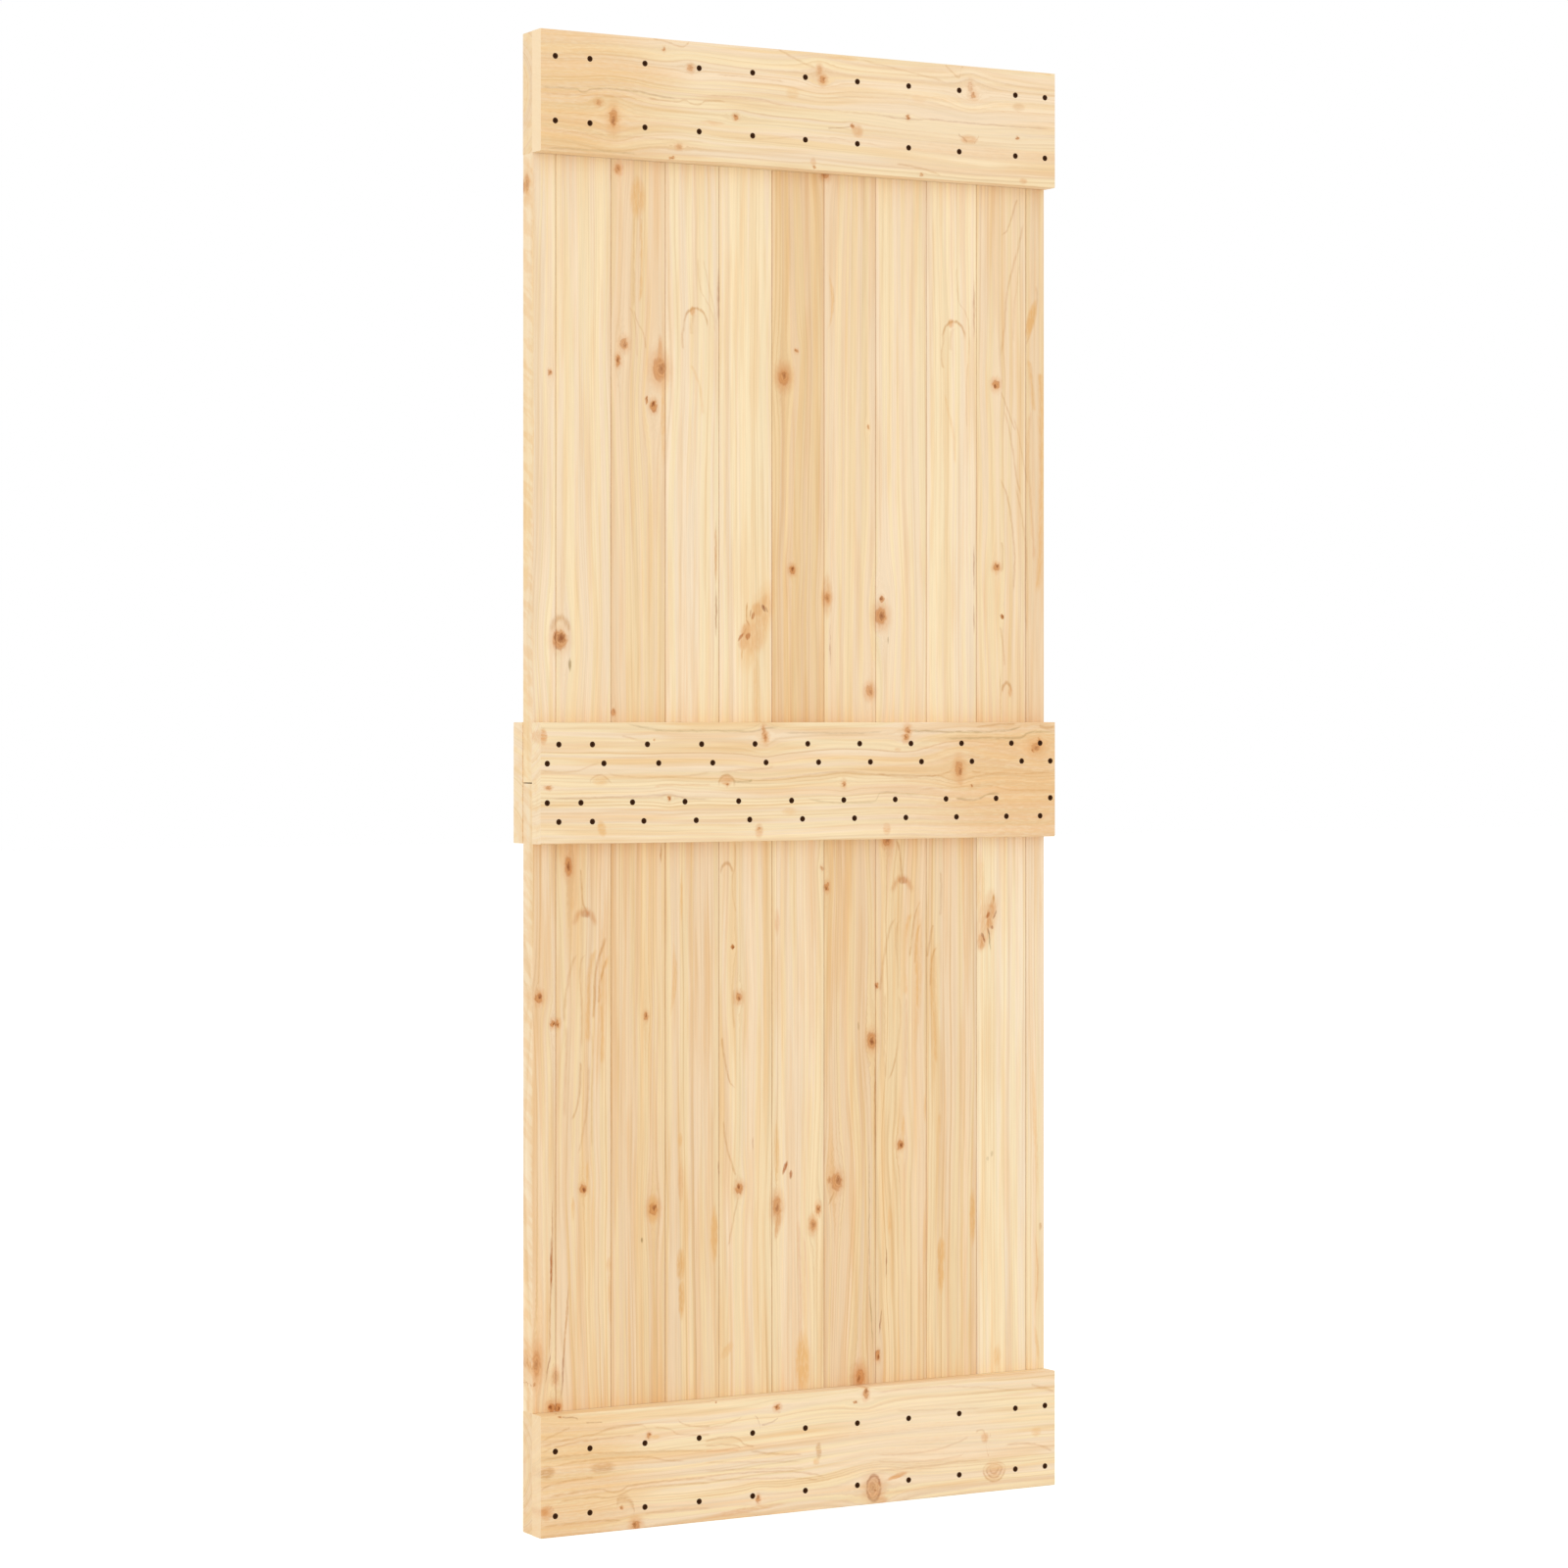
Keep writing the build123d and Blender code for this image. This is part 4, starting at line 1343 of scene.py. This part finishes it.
def screw_head(settings):
    """A countersunk head with a cross recess, its face at the origin and looking up."""
    shape = bmesh.new()
    rim = bmesh.ops.create_circle(
        shape, segments=settings.sides, radius=settings.head_diameter / 2
    )["verts"]
    rim_edges = list({edge for vertex in rim for edge in vertex.link_edges})

    # The recess's outline: at each quarter an arm's two tips, then the corner between two arms
    tip = settings.recess_span / 2
    half = settings.recess_slot / 2
    outline = []
    for quarter in range(4):
        turn = Matrix.Rotation(math.radians(90 * quarter), 4, "Z")
        for x, y in ((tip, -half), (tip, half), (half, half)):
            outline.append(shape.verts.new(turn @ Vector((x, y, 0))))
    mouth = [
        shape.edges.new((first, second))
        for first, second in zip(outline, outline[1:] + outline[:1])
    ]
    bmesh.ops.bridge_loops(shape, edges=rim_edges + mouth)

    # The recess narrows to its floor, and the head to its neck
    for edges, drop, narrow in (
        (mouth, settings.recess_depth, settings.recess_floor),
        (rim_edges, settings.head_height, settings.neck_diameter / settings.head_diameter),
    ):
        walls = bmesh.ops.extrude_edge_only(shape, edges=edges)["geom"]
        foot = [part for part in walls if isinstance(part, bmesh.types.BMVert)]
        ring = [part for part in walls if isinstance(part, bmesh.types.BMEdge)]
        ring = [edge for edge in ring if all(vertex in foot for vertex in edge.verts)]
        bmesh.ops.scale(shape, vec=(narrow, narrow, 1.0), verts=foot)
        bmesh.ops.translate(shape, vec=(0, 0, -drop), verts=foot)
        bmesh.ops.edgeloop_fill(shape, edges=ring)
    lip = [edge for edge in rim_edges if edge.is_valid]
    bmesh.ops.bevel(
        shape,
        geom=lip,
        offset=settings.lip,
        segments=2,
        profile=0.5,
        affect="EDGES",
        material=-1,
    )
    bmesh.ops.recalc_face_normals(shape, faces=shape.faces)
    return shape


def screw_finish(settings):
    """Black phosphate over steel, dull, with paler grains in its coat."""
    material, tree = new_material("screw_phosphate")
    shader = tree.nodes["Principled BSDF"]
    place = tree.node("ShaderNodeTexCoord").outputs["Object"]
    grains = tree.noise(tree.scale(place, settings.crystals), 2.0)
    black = linear(settings.black)
    lighter = [part * 1.8 for part in black[:3]] + [1.0]
    tree.join(shader.inputs["Base Color"], tree.mix(grains.fade(0.5, 0.8), black, lighter))
    tree.join(shader.inputs["Roughness"], grains * 0.2 + 0.5)
    shader.inputs["Specular IOR Level"].default_value = 0.12
    return material


def screw_row(pattern, seats, chance):
    """A ledge's screws as one shape, each turned as the driver happened to leave it."""
    face_front = Matrix.Rotation(math.radians(90), 4, "X")
    row = bmesh.new()
    for seat in seats:
        spin = Matrix.Rotation(chance.uniform(0, math.tau), 4, "Z")
        before = len(row.verts)
        row.from_mesh(pattern)
        row.verts.ensure_lookup_table()
        place = Matrix.Translation(seat) @ face_front @ spin
        bmesh.ops.transform(row, matrix=place, verts=row.verts[before:])
    return row


class DOOR_OT_screws(bpy.types.Operator):
    """Drive a countersunk screw into each seat of the front ledges"""

    bl_idname = "door.screws"
    bl_label = "Screws"

    def execute(self, context):
        settings = context.scene.door_screws
        chance = random.Random(DRIVER_SEED)
        pattern = mesh_from(screw_head(settings), "screw_head")
        finish = screw_finish(settings)
        for ledge in SCREWED_LEDGES:
            seats = screw_seats(ledge, settings)
            if not seats:
                raise RuntimeError(f"{ledge} has no countersinks")
            name = f"{ledge}_screws"
            mesh = mesh_from(screw_row(pattern, seats, chance), name)
            mesh.materials.append(finish)
            piece = bpy.data.objects.new(name, mesh)
            context.scene.collection.objects.link(piece)
            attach(piece, "root")
        bpy.data.meshes.remove(pattern)
        return {"FINISHED"}


def place_camera(scene, settings):
    camera = bpy.data.cameras.new("camera")
    camera.lens = settings.lens
    camera.sensor_width = settings.sensor
    camera.shift_y = settings.rise
    camera.clip_end = settings.floor_size
    view = bpy.data.objects.new("camera", camera)
    view.location = settings.eye
    view.rotation_euler = (math.radians(90), 0, -settings.heading)
    scene.collection.objects.link(view)
    scene.camera = view


def light_sky(scene, settings):
    """An even white sky, at full white where the camera or a polished surface looks at it."""
    world = bpy.data.worlds.new("studio")
    world.use_nodes = True
    scene.world = world
    sky = Tree(world.node_tree)
    path = sky.node("ShaderNodeLightPath").outputs
    seen = Value(sky, path["Is Camera Ray"])
    for ray in ("Is Glossy Ray", "Is Transmission Ray"):
        seen = seen.math("MAXIMUM", path[ray])
    range_to = {"Value": seen, "To Min": settings.daylight, "To Max": 1.0}
    background = sky.nodes["Background"].inputs
    background["Color"].default_value = (1, 1, 1, 1)
    sky.join(background["Strength"], sky.add("ShaderNodeMapRange", None, range_to))


def hang_lamp(scene, settings):
    lamp = bpy.data.lights.new("soft_lamp", "SUN")
    lamp.energy = settings.lamp_strength
    lamp.angle = settings.lamp_angle
    light = bpy.data.objects.new("soft_lamp", lamp)
    light.location = settings.lamp_place
    light.rotation_euler = (-light.location).to_track_quat("-Z", "Y").to_euler()
    scene.collection.objects.link(light)


def floor_finish(settings):
    """Dull white that takes the door's shadow, and glows a little where the camera sees it."""
    material, tree = new_material("floor_white")
    shader = tree.nodes["Principled BSDF"]
    white = settings.floor_white
    shader.inputs["Base Color"].default_value = (white, white, white, 1)
    shader.inputs["Roughness"].default_value = 0.9
    shader.inputs["Specular IOR Level"].default_value = 0.0
    seen = tree.node("ShaderNodeLightPath").outputs["Is Camera Ray"]
    glow = tree.add("ShaderNodeEmission", None, {"Strength": settings.floor_glow})
    lit = tree.add("ShaderNodeAddShader", None, [shader.outputs[0], glow])
    shown = tree.add("ShaderNodeMixShader", None, [seen, shader.outputs[0], lit])
    tree.join(tree.nodes["Material Output"].inputs["Surface"], shown)
    return material


class DOOR_OT_stage(bpy.types.Operator):
    """Set up the camera, the even light and the pale floor"""

    bl_idname = "door.stage"
    bl_label = "Studio"

    def execute(self, context):
        scene = context.scene
        settings = scene.door_studio
        place_camera(scene, settings)
        light_sky(scene, settings)
        hang_lamp(scene, settings)

        low, _ = cad_box
        shape = bmesh.new()
        half = settings.floor_size / 2
        bmesh.ops.create_grid(shape, x_segments=1, y_segments=1, size=half)
        bmesh.ops.translate(shape, vec=(0, 0, low[2]), verts=shape.verts)
        mesh = mesh_from(shape, "floor")
        mesh.materials.append(floor_finish(settings))
        floor = bpy.data.objects.new("floor", mesh)
        scene.collection.objects.link(floor)

        scene.view_settings.view_transform = "Standard"
        return {"FINISHED"}


class DOOR_PT_panel(bpy.types.Panel):
    """The door's settings and steps"""

    bl_label = "Pine Door"
    bl_idname = "DOOR_PT_panel"
    bl_space_type = "VIEW_3D"
    bl_region_type = "UI"
    bl_category = "Pine Door"

    def draw(self, context):
        layout = self.layout
        for operator in OPERATORS:
            layout.operator(operator.bl_idname)
        for group in (
            context.scene.door_pine,
            context.scene.door_screws,
            context.scene.door_studio,
        ):
            box = layout.box()
            for name in group.bl_rna.properties.keys():
                if name not in {"rna_type", "name"}:
                    box.prop(group, name)


OPERATORS = (DOOR_OT_stage, DOOR_OT_boards, DOOR_OT_rails, DOOR_OT_ledges, DOOR_OT_screws)
CLASSES = (PineSettings, ScrewSettings, StudioSettings, *OPERATORS, DOOR_PT_panel)


def register():
    for cls in CLASSES:
        bpy.utils.register_class(cls)
    bpy.types.Scene.door_pine = PointerProperty(type=PineSettings)
    bpy.types.Scene.door_screws = PointerProperty(type=ScrewSettings)
    bpy.types.Scene.door_studio = PointerProperty(type=StudioSettings)


def unregister():
    del bpy.types.Scene.door_studio
    del bpy.types.Scene.door_screws
    del bpy.types.Scene.door_pine
    for cls in reversed(CLASSES):
        bpy.utils.unregister_class(cls)


def main():
    register()
    bpy.ops.door.stage()
    bpy.ops.door.boards()
    bpy.ops.door.rails()
    bpy.ops.door.ledges()
    bpy.ops.door.screws()


if __name__ == "__main__":
    main()
